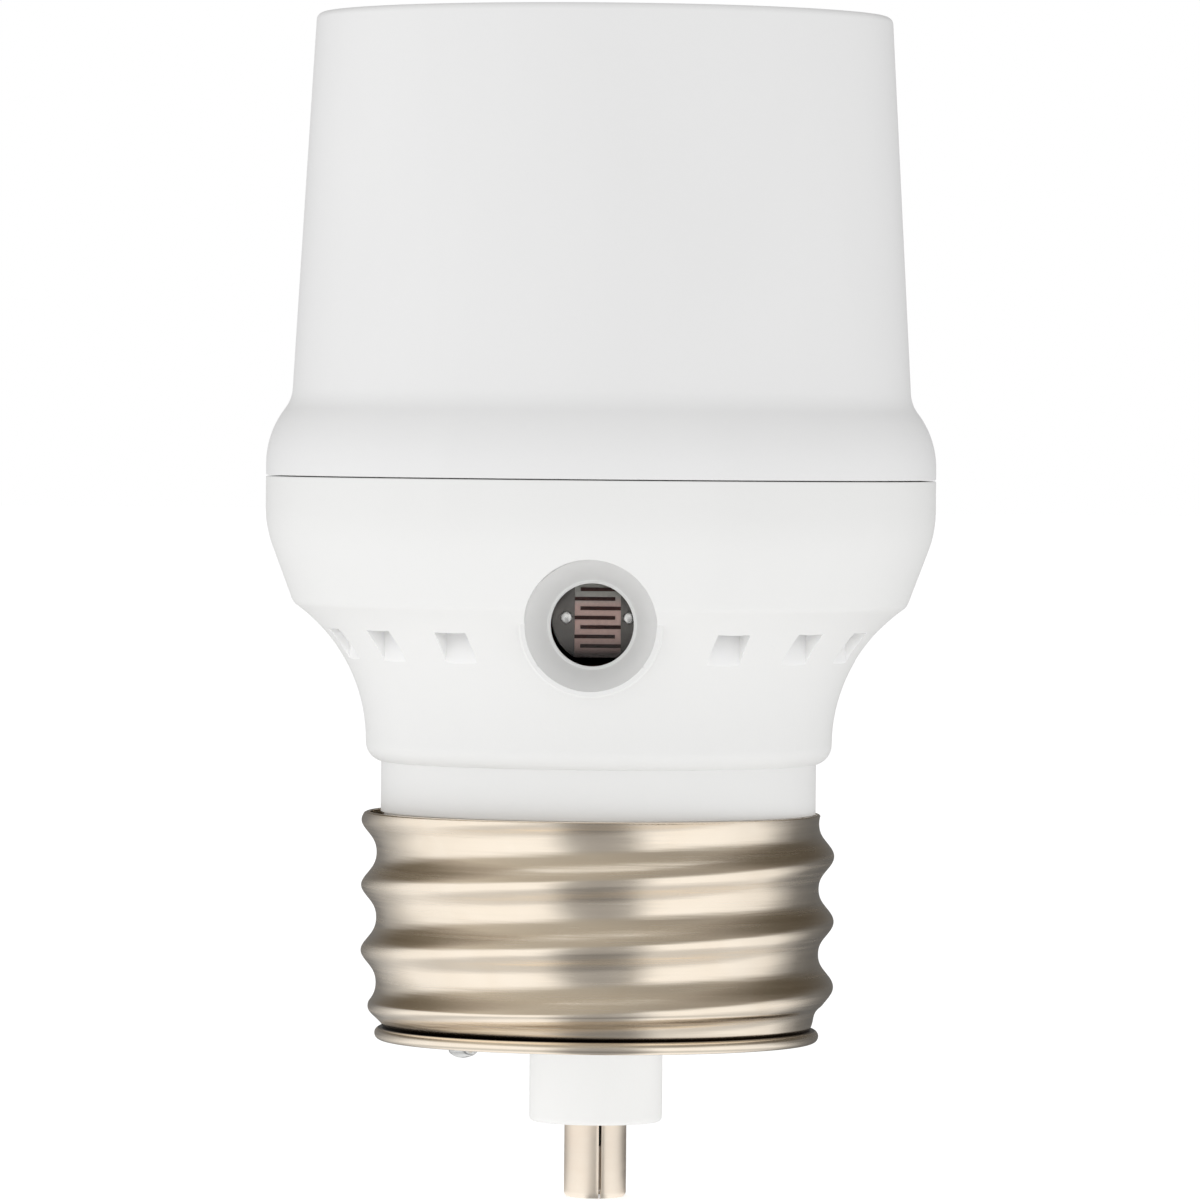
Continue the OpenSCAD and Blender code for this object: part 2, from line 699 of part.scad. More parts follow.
// Carries a face drawn in the plane to the photocell's place: its back lies at back_y and it faces out
module on_cell(back_y, t) {
    translate([cell_dx, -back_y, eye_z + cell_dz]) rotate([90, 0, 0]) linear_extrude(t) children();
}

// Holes for the two leads, which come through to the face
module lead_holes() {
    for (s = [-1, 1]) translate([s * lead_pitch / 2, 0]) circle(d = lead_d + press);
}

module photocell_disc() {
    color("rosybrown") on_cell(cell_back_y, cell_t) difference() {
        cell_face(cell_d / 2, cell_h);
        lead_holes();
    }
}

// Two pads, each with fingers that reach across the track in turn from one side and the other
module electrode(side) {
    gap = track_step - finger_w;
    margin = slip / 2;
    intersection() {
        cell_face(cell_d / 2 - margin, cell_h - 2 * margin);
        union() {
            translate([side * (track_w / 2 + cell_d / 2), 0]) square([cell_d, cell_d], center = true);
            for (i = [0:fingers - 1])
                if (pow(-1, i) == side)
                    translate([side * gap / 2, (i - (fingers - 1) / 2) * track_step])
                        square([track_w - gap, finger_w], center = true);
        }
    }
}

module photocell_electrodes() {
    color("gray") for (side = [-1, 1]) on_cell(ceramic_y, film_t) difference() {
        electrode(side);
        lead_holes();
    }
}

module photocell_coat() {
    color("aliceblue") on_cell(film_y, coat_t) cell_face(cell_d / 2, cell_h);
}

// A lead ends in the face of the disc, leaves its back level and turns up through the board
module photocell_leads() {
    z = eye_z + cell_dz;
    level = film_y + cell_lead_y;
    color("lightsteelblue") for (at = cell_spots) translate([at[0], at[1], z]) {
        rotate([90, 0, 0]) cylinder(h = level, d = lead_d);
        sphere(d = lead_d);
        cylinder(h = z_board_top + lead_end - z, d = lead_d);
    }
}

// Electronics

module circuit_board() {
    color("darkgreen") difference() {
        translate([0, 0, z_board]) cylinder(h = board_t, r = board_r);
        for (at = all_spots)
            translate([at[0], at[1], z_board - past])
                cylinder(h = board_t + 2 * past, d = lead_d + lead_slip);
    }
}

// Solder cones where the leads come through
module solder_joints() {
    foot_r = lead_d / 2 + solder_foot;
    color("silver") for (at = all_spots) translate([at[0], at[1], z_board_top]) difference() {
        cylinder(h = lead_end, r1 = foot_r, r2 = lead_d / 2 + solder_tip);
        translate([0, 0, -past]) cylinder(h = lead_end + 2 * past, d = lead_d + press);
    }
}

// Straight leads, rooted in the top of a part's body, up through the board
module straight_leads(spots, z_part) {
    z_root = z_part - lead_root;
    for (at = spots)
        translate([at[0], at[1], z_root]) cylinder(h = z_board_top + lead_end - z_root, d = lead_d);
}

// A three-legged semiconductor: a round body with one flat, hanging by its legs
module transistor(at, spots) {
    z_body = z_board - transistor_leg;
    translate([at[0], at[1], z_body - transistor_h]) difference() {
        cylinder(h = transistor_h, d = transistor_d);
        translate([-transistor_d, transistor_d / 4, -past])
            cube([2 * transistor_d, transistor_d, transistor_h + 2 * past]);
    }
    straight_leads(spots, z_body);
}

module thyristor() {
    color("black") transistor(thyristor_at, thyristor_spots);
}

module driver_transistor() {
    color("black") transistor(driver_at, driver_spots);
}

module dropper_capacitor() {
    color("firebrick") {
        translate([film_cap_at[0] - film_cap_w / 2, film_cap_at[1] - film_cap_t / 2, z_board - film_cap_h])
            cube([film_cap_w, film_cap_t, film_cap_h]);
        straight_leads(film_cap_spots, z_board);
    }
}

// An aluminium can with the crimp groove near its open end
module smoothing_capacitor() {
    r = can_d / 2;
    crimp = can_d / 16;
    z_crimp = z_board - can_d / 4;
    color("midnightblue") {
        translate([can_at[0], can_at[1], 0]) rotate_extrude() polygon([
            [0, z_board - can_h], [r - crimp, z_board - can_h], [r, z_board - can_h + crimp],
            [r, z_crimp - crimp], [r - crimp, z_crimp], [r, z_crimp + crimp], [r, z_board], [0, z_board]]);
        straight_leads(can_spots, z_board);
    }
}

// A part that lies under the board on two bent leads
module lying_part(at, angle, body_d, body_l) {
    z = z_board - part_gap - body_d / 2;
    bevel = body_d / 8;
    reach = body_l / 2 + lead_bend;
    translate([at[0], at[1], z]) rotate(angle) {
        rotate([0, 90, 0]) translate([0, 0, -body_l / 2]) rotate_extrude() polygon([
            [0, 0], [body_d / 2 - bevel, 0], [body_d / 2, bevel], [body_d / 2, body_l - bevel],
            [body_d / 2 - bevel, body_l], [0, body_l]]);
        translate([-reach, 0, 0]) rotate([0, 90, 0]) cylinder(h = 2 * reach, d = lead_d);
        for (s = [-1, 1]) translate([s * reach, 0, 0]) {
            sphere(d = lead_d);
            cylinder(h = z_board_top + lead_end - z, d = lead_d);
        }
    }
}

module rectifier_diodes() {
    color("darkslategray") for (a = diode_angles)
        lying_part(diode_ring_r * [cos(a), sin(a)], a + 90, diode_d, diode_l);
}

module resistors() {
    color("burlywood") for (a = resistor_angles)
        lying_part(diode_ring_r * [cos(a), sin(a)], a + 90, small_d, small_l);
}

module zener_diode() {
    color("orangered") lying_part(zener_at, 90, small_d, small_l);
}

// Wires

module live_wire() {
    z_start = pin_round + pin_solder_h;
    lift = z_board - z_sleeve;
    color("black") wire(concat(
        [[0, 0, z_start]],
        [for (b = live_bends) [b[0] * live_pad[0], b[0] * live_pad[1], z_sleeve + b[1] * lift]]));
}

module neutral_wire() {
    inner = neutral_at * (1 - wire_d / 2 / neutral_r);
    color("white") wire([
        [neutral_at[0], neutral_at[1], z_lip],
        [neutral_at[0], neutral_at[1], z_cove],
        [inner[0], inner[1], (z_cove + z_board) / 2],
        [inner[0], inner[1], z_board]]);
}

// A short wire from the board, up and a little aside to the tail of a rivet
module rivet_wire(at) {
    foot = at + wire_lean;
    wire([
        [foot[0], foot[1], z_board_top],
        [foot[0], foot[1], z_board_top + wire_d / 2],
        [at[0], at[1], z_tail - wire_d / 2],
        [at[0], at[1], z_tail]]);
}

module load_wire() {
    color("firebrick") rivet_wire([0, tongue_rivet_y]);
}

module return_wire() {
    color("white") rivet_wire([-shell_rivet_x, 0]);
}

socket_shroud();
lower_housing();
base_screw_shell();
base_plug();
contact_pin();
pin_solder();
neutral_solder();
socket_screw_shell();
socket_base();
socket_contact();
contact_rivet();
shell_rivets();
circuit_board();
photocell_disc();
photocell_electrodes();
photocell_coat();
photocell_leads();
thyristor();
driver_transistor();
dropper_capacitor();
smoothing_capacitor();
rectifier_diodes();
zener_diode();
resistors();
solder_joints();
live_wire();
neutral_wire();
load_wire();
return_wire();
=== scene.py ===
"""Looks of the photocell switch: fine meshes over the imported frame, procedural finishes, light and camera.

Lengths are written in millimetres, as in the part's source, and turned into metres when a mesh is made.
"""
import math

import bmesh
import bpy
from mathutils import Euler, Matrix, Vector, noise


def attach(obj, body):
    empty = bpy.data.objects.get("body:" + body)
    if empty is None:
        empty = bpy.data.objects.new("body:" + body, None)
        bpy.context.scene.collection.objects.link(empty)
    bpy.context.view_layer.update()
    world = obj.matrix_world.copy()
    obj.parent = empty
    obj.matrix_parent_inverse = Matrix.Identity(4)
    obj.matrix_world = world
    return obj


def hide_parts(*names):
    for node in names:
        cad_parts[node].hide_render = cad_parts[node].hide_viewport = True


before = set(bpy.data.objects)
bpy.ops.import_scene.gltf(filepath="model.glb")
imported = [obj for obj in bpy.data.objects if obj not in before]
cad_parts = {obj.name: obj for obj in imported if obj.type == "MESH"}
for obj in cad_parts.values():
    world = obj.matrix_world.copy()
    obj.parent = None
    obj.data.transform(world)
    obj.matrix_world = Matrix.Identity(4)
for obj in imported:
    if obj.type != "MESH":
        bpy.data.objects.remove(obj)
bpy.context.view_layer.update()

MM = 0.001
TURN_STEPS = 240
FINE_STEPS = 160
SHARP_ANGLE = 28
ROOT = "root"


def sin(degrees):
    return math.sin(math.radians(degrees))


def cos(degrees):
    return math.cos(math.radians(degrees))


def tan(degrees):
    return math.tan(math.radians(degrees))


# Sizes, as in the part's source, apart from FINGER_W, PIN_SEAM and RUN_OUT, which were refined on the photo

# Clearances, and how far a cutter goes past the face that it cuts
SLIP = 0.1
PRESS = 0.02
PAST = 1

BASE_MAJOR_R = 13.15
BASE_LEN = 12.7
BASE_SHEET = 0.3
THREAD_DEPTH = 0.85
THREAD_PITCH = 3.629
THREAD_FADE = 1.0
CREST_SHARE = 0.14
CREST_DROP = 0.53
RUN_OUT = 1.4
LIP_STEP = 0.8
LIP_FLANGE = 1.14
LIP_H = 0.7
GROOVE_DEPTH = 0.5
SOLDER_ANGLE = 231.6
SOLDER_R = 0.9
SOLDER_H = 0.45

PIN_LEN = 4.2
PIN_R = 1.725
PIN_SHEET = 0.35
PIN_SEAM = 0.16
PIN_SEAM_ANGLE = 281
PIN_ROUND = 0.3
PIN_SOLDER_H = 2.6
STEM_R = 3.7
STEM_LEN = 4.5
STEM_BEVEL = 0.35
PLUG_T = 2
WIRE_R = 0.6

WALL = 1.6
SLEEVE_WALL = 1.5
NECK_LEN = 2.63
NECK_STEP = 0.19
COLLAR_STEP = 0.86
COLLAR_ROUND = 1.1
COLLAR_LEN = 1.22
COVE_H = 7.7
CONE_H = 5.25
CONE_ANGLE = 20.5
BELLY_R = 6
BAND_H = 1.75
SEAM_GAP = 0.06

VENT_PLACES = 18
VENT_W = 2
VENT_LEN = 1.25
VENT_INSET = 1.6

EYE_DROP = 0.85
EYE_R = 3.6
EYE_RIM = 0.3
EYE_LAND = 0.18
EYE_SETBACK = 1.45
EYE_DEPTH = 2.4
THROAT_R = 2.25
THROAT_LEN = 0.4
POCKET_LEN = 2.3

CELL_R = 2.5
CELL_HALF_H = 2.15
CELL_T = 1.3
CELL_DX = 0.28
CELL_DZ = 0.38
COAT_T = 0.35
COAT_CLEAR = 0.012
FILM_T = 0.06
LEAD_PITCH = 3.4
LEAD_R = 0.3
TRACK_W = 2.5
TRACK_STEP = 0.51
FINGER_W = 0.2
FINGERS = 7

SOCKET_MAJOR_R = 13.45
SOCKET_SHEET = 0.35
SOCKET_LEN = 18.2
SOCKET_FLANGE = 3.1
MOUTH_GAP = 0.6
BORE_STEP = 0.3
CUP_WALL = 1.6
CUP_DRAFT = 3.2
SHROUD_H = 25.65
RIM_ROUND = 0.4
SKIRT_BAND = 0.65
FLARE_R = 5
FLARE_ANGLE = 37.5
FILLET_R = 2
SPIGOT_LEN = 1.1
SHOULDER_W = 0.7
SHOULDER_RISE = 2.75
DISC_T = 1.8
RIVET_R = 0.9
RIVET_HEAD_R = 1.5
RIVET_HEAD_H = 0.6
TONGUE_T = 0.4
TONGUE_W = 5
TONGUE_RISE = 3.6
TONGUE_REACH = 1.4
TONGUE_RIVET_Y = 5.9

BOARD_DROP = 3.75
POST_W = 1.6
POST_LEDGE = 0.9
POST_T = 1.3
POST_PLACES = (-6, -2, 2, 6)

# Heights, from the tip of the contact upwards

Z_LIP = PIN_LEN + STEM_LEN
Z_GROOVE = Z_LIP + LIP_H
Z_PLUG = Z_LIP + BASE_SHEET
Z_SLEEVE = Z_PLUG + PLUG_T
Z_BASE_TOP = Z_LIP + BASE_LEN
Z_COLLAR = Z_BASE_TOP + NECK_LEN
Z_COVE = Z_COLLAR + COLLAR_LEN
Z_EDGE = Z_COVE + COVE_H
Z_BAND = Z_EDGE + CONE_H
Z_SEAM = Z_BAND + BAND_H
Z_BOARD = Z_SEAM - BOARD_DROP
Z_SKIRT = Z_SEAM + SEAM_GAP
Z_FLARE = Z_SKIRT + SKIRT_BAND
Z_KINK = Z_FLARE + FLARE_R * sin(FLARE_ANGLE) + FILLET_R * (sin(FLARE_ANGLE) - sin(CUP_DRAFT))
Z_SHOULDER = Z_SKIRT + SHOULDER_RISE
Z_DISC = Z_SHOULDER - DISC_T
Z_MOUTH = Z_SHOULDER + SOCKET_LEN + SLIP
Z_RIM = Z_SKIRT + SHROUD_H

# Distances from the axis: the base, the cup, and the bulge with its hollow

LIP_R = BASE_MAJOR_R - LIP_STEP
GROOVE_R = LIP_R - GROOVE_DEPTH
FLANGE_BORE_R = LIP_R - LIP_FLANGE
PLUG_R = GROOVE_R - BASE_SHEET - SLIP
NEUTRAL_R = FLANGE_BORE_R - WIRE_R - SLIP / 2
NEUTRAL_AT = (NEUTRAL_R * cos(SOLDER_ANGLE), NEUTRAL_R * sin(SOLDER_ANGLE))
SLEEVE_R = BASE_MAJOR_R - THREAD_DEPTH - BASE_SHEET - SLIP
SLEEVE_BORE_R = SLEEVE_R - SLEEVE_WALL
NECK_R = SLEEVE_R + NECK_STEP
COLLAR_R = NECK_R + COLLAR_STEP

SOCKET_MINOR_R = SOCKET_MAJOR_R - THREAD_DEPTH
SHELL_RIVET_X = SOCKET_MINOR_R - SOCKET_FLANGE / 2
MOUTH_R = SOCKET_MAJOR_R + SOCKET_SHEET + MOUTH_GAP
CUP_BORE_R = MOUTH_R + BORE_STEP
RIM_R = MOUTH_R + CUP_WALL
KINK_R = RIM_R + (Z_RIM - Z_KINK) * tan(CUP_DRAFT)
BAND_R = KINK_R + FILLET_R * (cos(CUP_DRAFT) - cos(FLARE_ANGLE)) + FLARE_R * (1 - cos(FLARE_ANGLE))
RECESS_R = CUP_BORE_R + SHOULDER_W
SPIGOT_R = BAND_R - WALL - SLIP
POST_R = RECESS_R - 2 * SLIP - POST_T

CONE_TOP_R = BAND_R - BELLY_R * (1 - cos(CONE_ANGLE))
Z_CONE_TOP = Z_BAND - BELLY_R * sin(CONE_ANGLE)
EDGE_R = CONE_TOP_R - (Z_CONE_TOP - Z_EDGE) * tan(CONE_ANGLE)
COVE_OUT = EDGE_R - COLLAR_R
COVE_R = (COVE_OUT ** 2 + COVE_H ** 2) / (2 * COVE_OUT)
COVE_X = COLLAR_R + COVE_R
HOLLOW_COVE_R = COVE_R + WALL
HOLLOW_LEAN = tan(CONE_ANGLE)
HOLLOW_GAP = COVE_X - (EDGE_R - WALL / cos(CONE_ANGLE) - COVE_H * HOLLOW_LEAN)
HOLLOW_MEET = (HOLLOW_LEAN * HOLLOW_GAP + math.sqrt(
    (1 + HOLLOW_LEAN ** 2) * HOLLOW_COVE_R ** 2 - HOLLOW_GAP ** 2)) / (1 + HOLLOW_LEAN ** 2)

VENT_STEP = 360 / VENT_PLACES
VENT_TURNS = [270 + VENT_STEP / 2 + i * VENT_STEP for i in range(1, VENT_PLACES - 1)]
VENT_OUTER_R = EDGE_R - VENT_INSET
VENT_INNER_R = VENT_OUTER_R - VENT_LEN

# The window, from its mouth inwards

EYE_Z = Z_EDGE - EYE_DROP
EYE_Y = EDGE_R - EYE_SETBACK
THROAT_Y = EYE_Y - EYE_DEPTH
CELL_Y = THROAT_Y - THROAT_LEN
BOSS_END_Y = CELL_Y - POCKET_LEN
BOSS_R = EYE_R + EYE_RIM
POCKET_R = CELL_R + math.hypot(CELL_DX, CELL_DZ) + SLIP / 2
FILM_Y = CELL_Y - COAT_T
CERAMIC_Y = FILM_Y - FILM_T

# Softened edges and small forms, which the solids leave plain

SEAM_EDGE = 0.08
BULGE_EDGE = 0.28
MOUTH_EDGE = 0.3
LAND_EDGE = 0.06
THROAT_EDGE = 0.08
BOSS_EDGE = 0.1
EYE_REACH = 6
POST_FOOT_H = 5.7
POST_FOOT_IN = 0.2
POST_EDGE_IN = 1.25
POST_EDGE_RISE = 0.05
POST_BAND_IN = 1.3
PLUG_EDGE = 0.08
HEEL_ROUND = 0.25
PIN_EDGE = 0.05
SEAM_THIN = (0.72, 0.93)
FILL_DISH = 0.18
HEAD_WALL = 0.35
HEEL_BEND = 1.2
TIP_BEND = 0.9
TONGUE_CORNER = 1.1
TONGUE_STEP = 0.4
RESIN_RIM = 0.45
LEAD_ROOT = 0.2
LEAD_SPREAD = 1.1
LEAD_DOME = 0.1


# Mesh helpers

def arc(centre, r, start, end, step=3.0):
    """Points of an arc about a centre, from one angle to another."""
    flats = max(1, math.ceil(abs(end - start) / step))
    angles = [start + (end - start) * i / flats for i in range(flats + 1)]
    return [(centre[0] + r * cos(a), centre[1] + r * sin(a)) for a in angles]


def rounded(before, corner, after, r, steps=5):
    """Points that round a corner, beginning and ending r away from it."""
    b, c, a = Vector(before), Vector(corner), Vector(after)
    first = c + (b - c).normalized() * r
    last = c + (a - c).normalized() * r
    points = []
    for i in range(steps + 1):
        t = i / steps
        p = first * (1 - t) ** 2 + c * (2 * t * (1 - t)) + last * t ** 2
        points.append((p.x, p.y))
    return points


def placed(name, data):
    """A new object in the scene."""
    made = bpy.data.objects.new(name, data)
    bpy.context.scene.collection.objects.link(made)
    return made


def make(name, points, faces):
    """A mesh object from points in millimetres."""
    mesh = bpy.data.meshes.new(name)
    mesh.from_pydata([(p[0] * MM, p[1] * MM, p[2] * MM) for p in points], [], faces)
    mesh.update()
    return placed(name, mesh)


def tidy(made, merge=0.0):
    """Outward normals, and merged points where a shape closes on its axis."""
    bm = bmesh.new()
    bm.from_mesh(made.data)
    if merge:
        bmesh.ops.remove_doubles(bm, verts=bm.verts, dist=merge * MM)
        bmesh.ops.dissolve_degenerate(bm, edges=bm.edges, dist=merge * MM / 10)
    bmesh.ops.recalc_face_normals(bm, faces=bm.faces)
    bm.to_mesh(made.data)
    bm.free()
    return made


def smooth(made, angle=SHARP_ANGLE):
    """Smooth shading that stays crisp over real edges."""
    bm = bmesh.new()
    bm.from_mesh(made.data)
    for f in bm.faces:
        f.smooth = True
    for e in bm.edges:
        e.smooth = not (len(e.link_faces) == 2 and e.calc_face_angle(0) > math.radians(angle))
    bm.to_mesh(made.data)
    bm.free()
    return made


def skin(rings, n, closed=False):
    """Faces between rings of n points each, and from the last ring to the first where closed."""
    faces = []
    for k in range(rings if closed else rings - 1):
        a = k * n
        b = (k + 1) % rings * n
        faces += [(a + i, a + (i + 1) % n, b + (i + 1) % n, b + i) for i in range(n)]
    return faces


def lathe(name, loop, steps=TURN_STEPS):
    """A closed outline (r, z) turned about Z."""
    points = []
    for i in range(steps):
        a = 360 * i / steps
        points += [(r * cos(a), r * sin(a), z) for r, z in loop]
    return tidy(make(name, points, skin(steps, len(loop), closed=True)), merge=0.0005)


def swept(name, outline, z_top, steps=TURN_STEPS):
    """A closed outline (r, z, wave) carried round the axis, where the thread moves each point by its wave."""
    points = []
    for i in range(steps):
        a = 360 * i / steps
        for r, z, wave in outline:
            phase = a - 360 * (z - z_top + CREST_DROP) / THREAD_PITCH
            r = r + wave * (cos(phase + 180) + CREST_SHARE * (cos(2 * phase) - 1))
            points.append((r * cos(a), r * sin(a), z))
    return tidy(make(name, points, skin(steps, len(outline), closed=True)))


def box(low, high, turn):
    """Points and faces of a box, turned about Z."""
    corners = [(x, y, z) for z in (low[2], high[2]) for y in (low[1], high[1]) for x in (low[0], high[0])]
    points = [(x * cos(turn) - y * sin(turn), x * sin(turn) + y * cos(turn), z) for x, y, z in corners]
    faces = [(0, 2, 3, 1), (4, 5, 7, 6), (0, 1, 5, 4), (1, 3, 7, 5), (3, 2, 6, 7), (2, 0, 4, 6)]
    return points, faces


def joined(name, shapes):
    """One mesh from several (points, faces)."""
    points, faces = [], []
    for p, f in shapes:
        start = len(points)
        points += p
        faces += [tuple(i + start for i in face) for face in f]
    return tidy(make(name, points, faces))


def cut(made, tool, how="DIFFERENCE"):
    """Joins a tool to a mesh or cuts it away, and removes the tool."""
    modifier = made.modifiers.new(how.lower(), "BOOLEAN")
    modifier.operation = how
    modifier.solver = "EXACT"
    modifier.object = tool
    bpy.context.view_layer.update()
    result = bpy.data.meshes.new_from_object(made.evaluated_get(bpy.context.evaluated_depsgraph_get()))
    made.modifiers.clear()
    made.data = result
    bpy.data.objects.remove(tool)
    return made


def moved(made, x, y):
    """Moves a shape that was turned about Z to x, y."""
    made.data.transform(Matrix.Translation((x * MM, y * MM, 0)))
    return made


def pillar(name, x, y, r, z_low, z_high, steps=48):
    """A round cutter that stands at x, y."""
    return moved(lathe(name, [(0, z_low), (r, z_low), (r, z_high), (0, z_high)], steps), x, y)


def level(made, z, x=0.0):
    """Lays a shape that was turned about Z along -Y, its axis at x and z."""
    turned = Euler((math.radians(90), 0, 0)).to_matrix().to_4x4()
    made.data.transform(Matrix.Translation((x * MM, 0, z * MM)) @ turned)
    return made


def piece(made, material, slot, *nodes):
    """Puts a finished mesh on the frame."""
    made.data.materials.clear()
    made.data.materials.append(material)
    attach(made, ROOT)
    if nodes:
        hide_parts(*nodes)
    return made


# Materials

WHITE = (1, 1, 1, 1)

# Where the values of a noise mostly lie
NOISE_LOW = 0.3
NOISE_HIGH = 0.7

# Where along X the painted shade in the groove is heaviest and lightest
GROOVE_SHADE_HEAVY_X = -4
GROOVE_SHADE_LIGHT_X = 10


def srgb(r, g, b):
    """A colour as it looks on screen, 0 to 255, as Blender's linear values."""
    def one(v):
        v = v / 255
        return v / 12.92 if v <= 0.04045 else ((v + 0.055) / 1.055) ** 2.4
    return (one(r), one(g), one(b), 1.0)


class Nodes:
    """A node tree, with the few kinds of nodes that the finishes and the stage are made of."""

    def __init__(self, tree):
        self.tree = tree
        self.coords = self.node("ShaderNodeTexCoord").outputs

    def node(self, kind, **settings):
        made = self.tree.nodes.new(kind)
        for key, value in settings.items():
            setattr(made, key, value)
        return made

    def link(self, a, b):
        self.tree.links.new(a, b)

    def parts(self, vector):
        """A vector's X, Y and Z."""
        made = self.node("ShaderNodeSeparateXYZ")
        self.link(vector, made.inputs["Vector"])
        return made.outputs

    def math(self, how, *values):
        """The result of an operation on values, each of them a socket or a number."""
        made = self.node("ShaderNodeMath", operation=how)
        for socket, value in zip(made.inputs, values):
            if isinstance(value, float):
                socket.default_value = value
            else:
                self.link(value, socket)
        return made.outputs["Value"]

    def ranged(self, value, low, high, to_low=0.0, to_high=1.0, how="LINEAR"):
        """A value from low to high, spread over another range."""
        made = self.node("ShaderNodeMapRange", interpolation_type=how)
        made.inputs["From Min"].default_value = low
        made.inputs["From Max"].default_value = high
        made.inputs["To Min"].default_value = to_low
        made.inputs["To Max"].default_value = to_high
        self.link(value, made.inputs["Value"])
        return made.outputs["Result"]

    def ramp(self, value, *stops):
        """Colours over a value: (position, colour) pairs."""
        made = self.node("ShaderNodeValToRGB")
        elements = made.color_ramp.elements
        while len(elements) < len(stops):
            elements.new(0.5)
        for e, (position, colour) in zip(elements, stops):
            e.position = position
            e.color = colour
        self.link(value, made.inputs["Fac"])
        return made.outputs["Color"]

    def greys(self, value, stops):
        """Brightness over a value: (position, grey) pairs."""
        return self.ramp(value, *[(position, (grey, grey, grey, 1)) for position, grey in stops])

    def glow(self, colour, strength=None):
        made = self.node("ShaderNodeEmission")
        self.link(colour, made.inputs["Color"])
        if strength is not None:
            self.link(strength, made.inputs["Strength"])
        return made.outputs["Emission"]

    def either(self, share, first, second):
        """Two shaders, mixed by a share from 0 to 1."""
        made = self.node("ShaderNodeMixShader")
        self.link(share, made.inputs["Fac"])
        self.link(first, made.inputs[1])
        self.link(second, made.inputs[2])
        return made.outputs["Shader"]

    def show(self, shader, kind="ShaderNodeOutputMaterial"):
        """Ends the tree in a shader."""
        self.link(shader, self.node(kind).inputs["Surface"])


class Finish(Nodes):
    """A Principled material with a few helpers to build its detail from nodes."""

    def __init__(self, name, **constants):
        self.material = bpy.data.materials.new(name)
        self.material.use_nodes = True
        super().__init__(self.material.node_tree)
        self.shader = self.tree.nodes["Principled BSDF"]
        for key, value in constants.items():
            self.shader.inputs[key.replace("_", " ")].default_value = value

    def stretched(self, x, y, z):
        """Object coordinates in metres, multiplied, so x=1000 gives one unit to a millimetre."""
        made = self.node("ShaderNodeMapping")
        made.inputs["Scale"].default_value = (x, y, z)
        self.link(self.coords["Object"], made.inputs["Vector"])
        return made.outputs["Vector"]

    def noise(self, vector, detail=2.0, roughness=0.5, distortion=0.0):
        made = self.node("ShaderNodeTexNoise")
        made.inputs["Scale"].default_value = 1.0
        made.inputs["Detail"].default_value = detail
        made.inputs["Roughness"].default_value = roughness
        made.inputs["Distortion"].default_value = distortion
        self.link(vector, made.inputs["Vector"])
        return made.outputs["Fac"]

    def along(self, axis):
        """One object coordinate, in metres."""
        return self.parts(self.coords["Object"])[axis]

    def between(self, value, first, second):
        """A colour from one to another, over a noise value."""
        return self.ramp(value, (NOISE_LOW, first), (NOISE_HIGH, second))

    def two_colours(self, how, first, second):
        """A node that takes two colours, and its result."""
        made = self.node("ShaderNodeMix", data_type="RGBA", blend_type=how)
        a, b = [i for i in made.inputs if i.type == "RGBA"]
        self.link(first, a)
        self.link(second, b)
        return made, [o for o in made.outputs if o.type == "RGBA"][0]

    def mixed(self, share, first, second):
        """Two colours, mixed by a share from 0 to 1."""
        made, result = self.two_colours("MIX", first, second)
        self.link(share, made.inputs[0])
        return result

    def times(self, first, second):
        """One colour multiplied by another."""
        made, result = self.two_colours("MULTIPLY", first, second)
        made.inputs[0].default_value = 1.0
        return result

    def paint(self, colour):
        self.link(colour, self.shader.inputs["Base Color"])

    def colour(self, value, first, second):
        """Base colour between two, over a noise value."""
        self.paint(self.between(value, first, second))

    def rough(self, value, low, high):
        """Roughness between two, over a noise value."""
        self.link(self.ranged(value, NOISE_LOW, NOISE_HIGH, low, high), self.shader.inputs["Roughness"])

    def bump(self, *heights):
        """Relief from (value, height in millimetres) pairs, one on the other."""
        normal = None
        for value, height in heights:
            made = self.node("ShaderNodeBump")
            made.inputs["Strength"].default_value = 1.0
            made.inputs["Distance"].default_value = height * MM
            self.link(value, made.inputs["Height"])
            if normal is not None:
                self.link(normal, made.inputs["Normal"])
            normal = made.outputs["Normal"]
        self.link(normal, self.shader.inputs["Normal"])


def moulded(name, colour, shade, rough, grain=0.004, **constants):
    """Moulded plastic: faint flow marks in its colour and gloss, and a fine satin grain."""
    f = Finish(name, **constants)
    flow = f.noise(f.stretched(90, 90, 45), detail=3.0, distortion=0.6)
    fine = f.noise(f.stretched(5200, 5200, 5200), detail=1.0)
    waves = f.noise(f.stretched(220, 220, 120), detail=1.0)
    f.colour(flow, colour, shade)
    f.rough(fine, rough - 0.04, rough + 0.05)
    f.bump((waves, 0.02), (fine, grain))
    return f.material


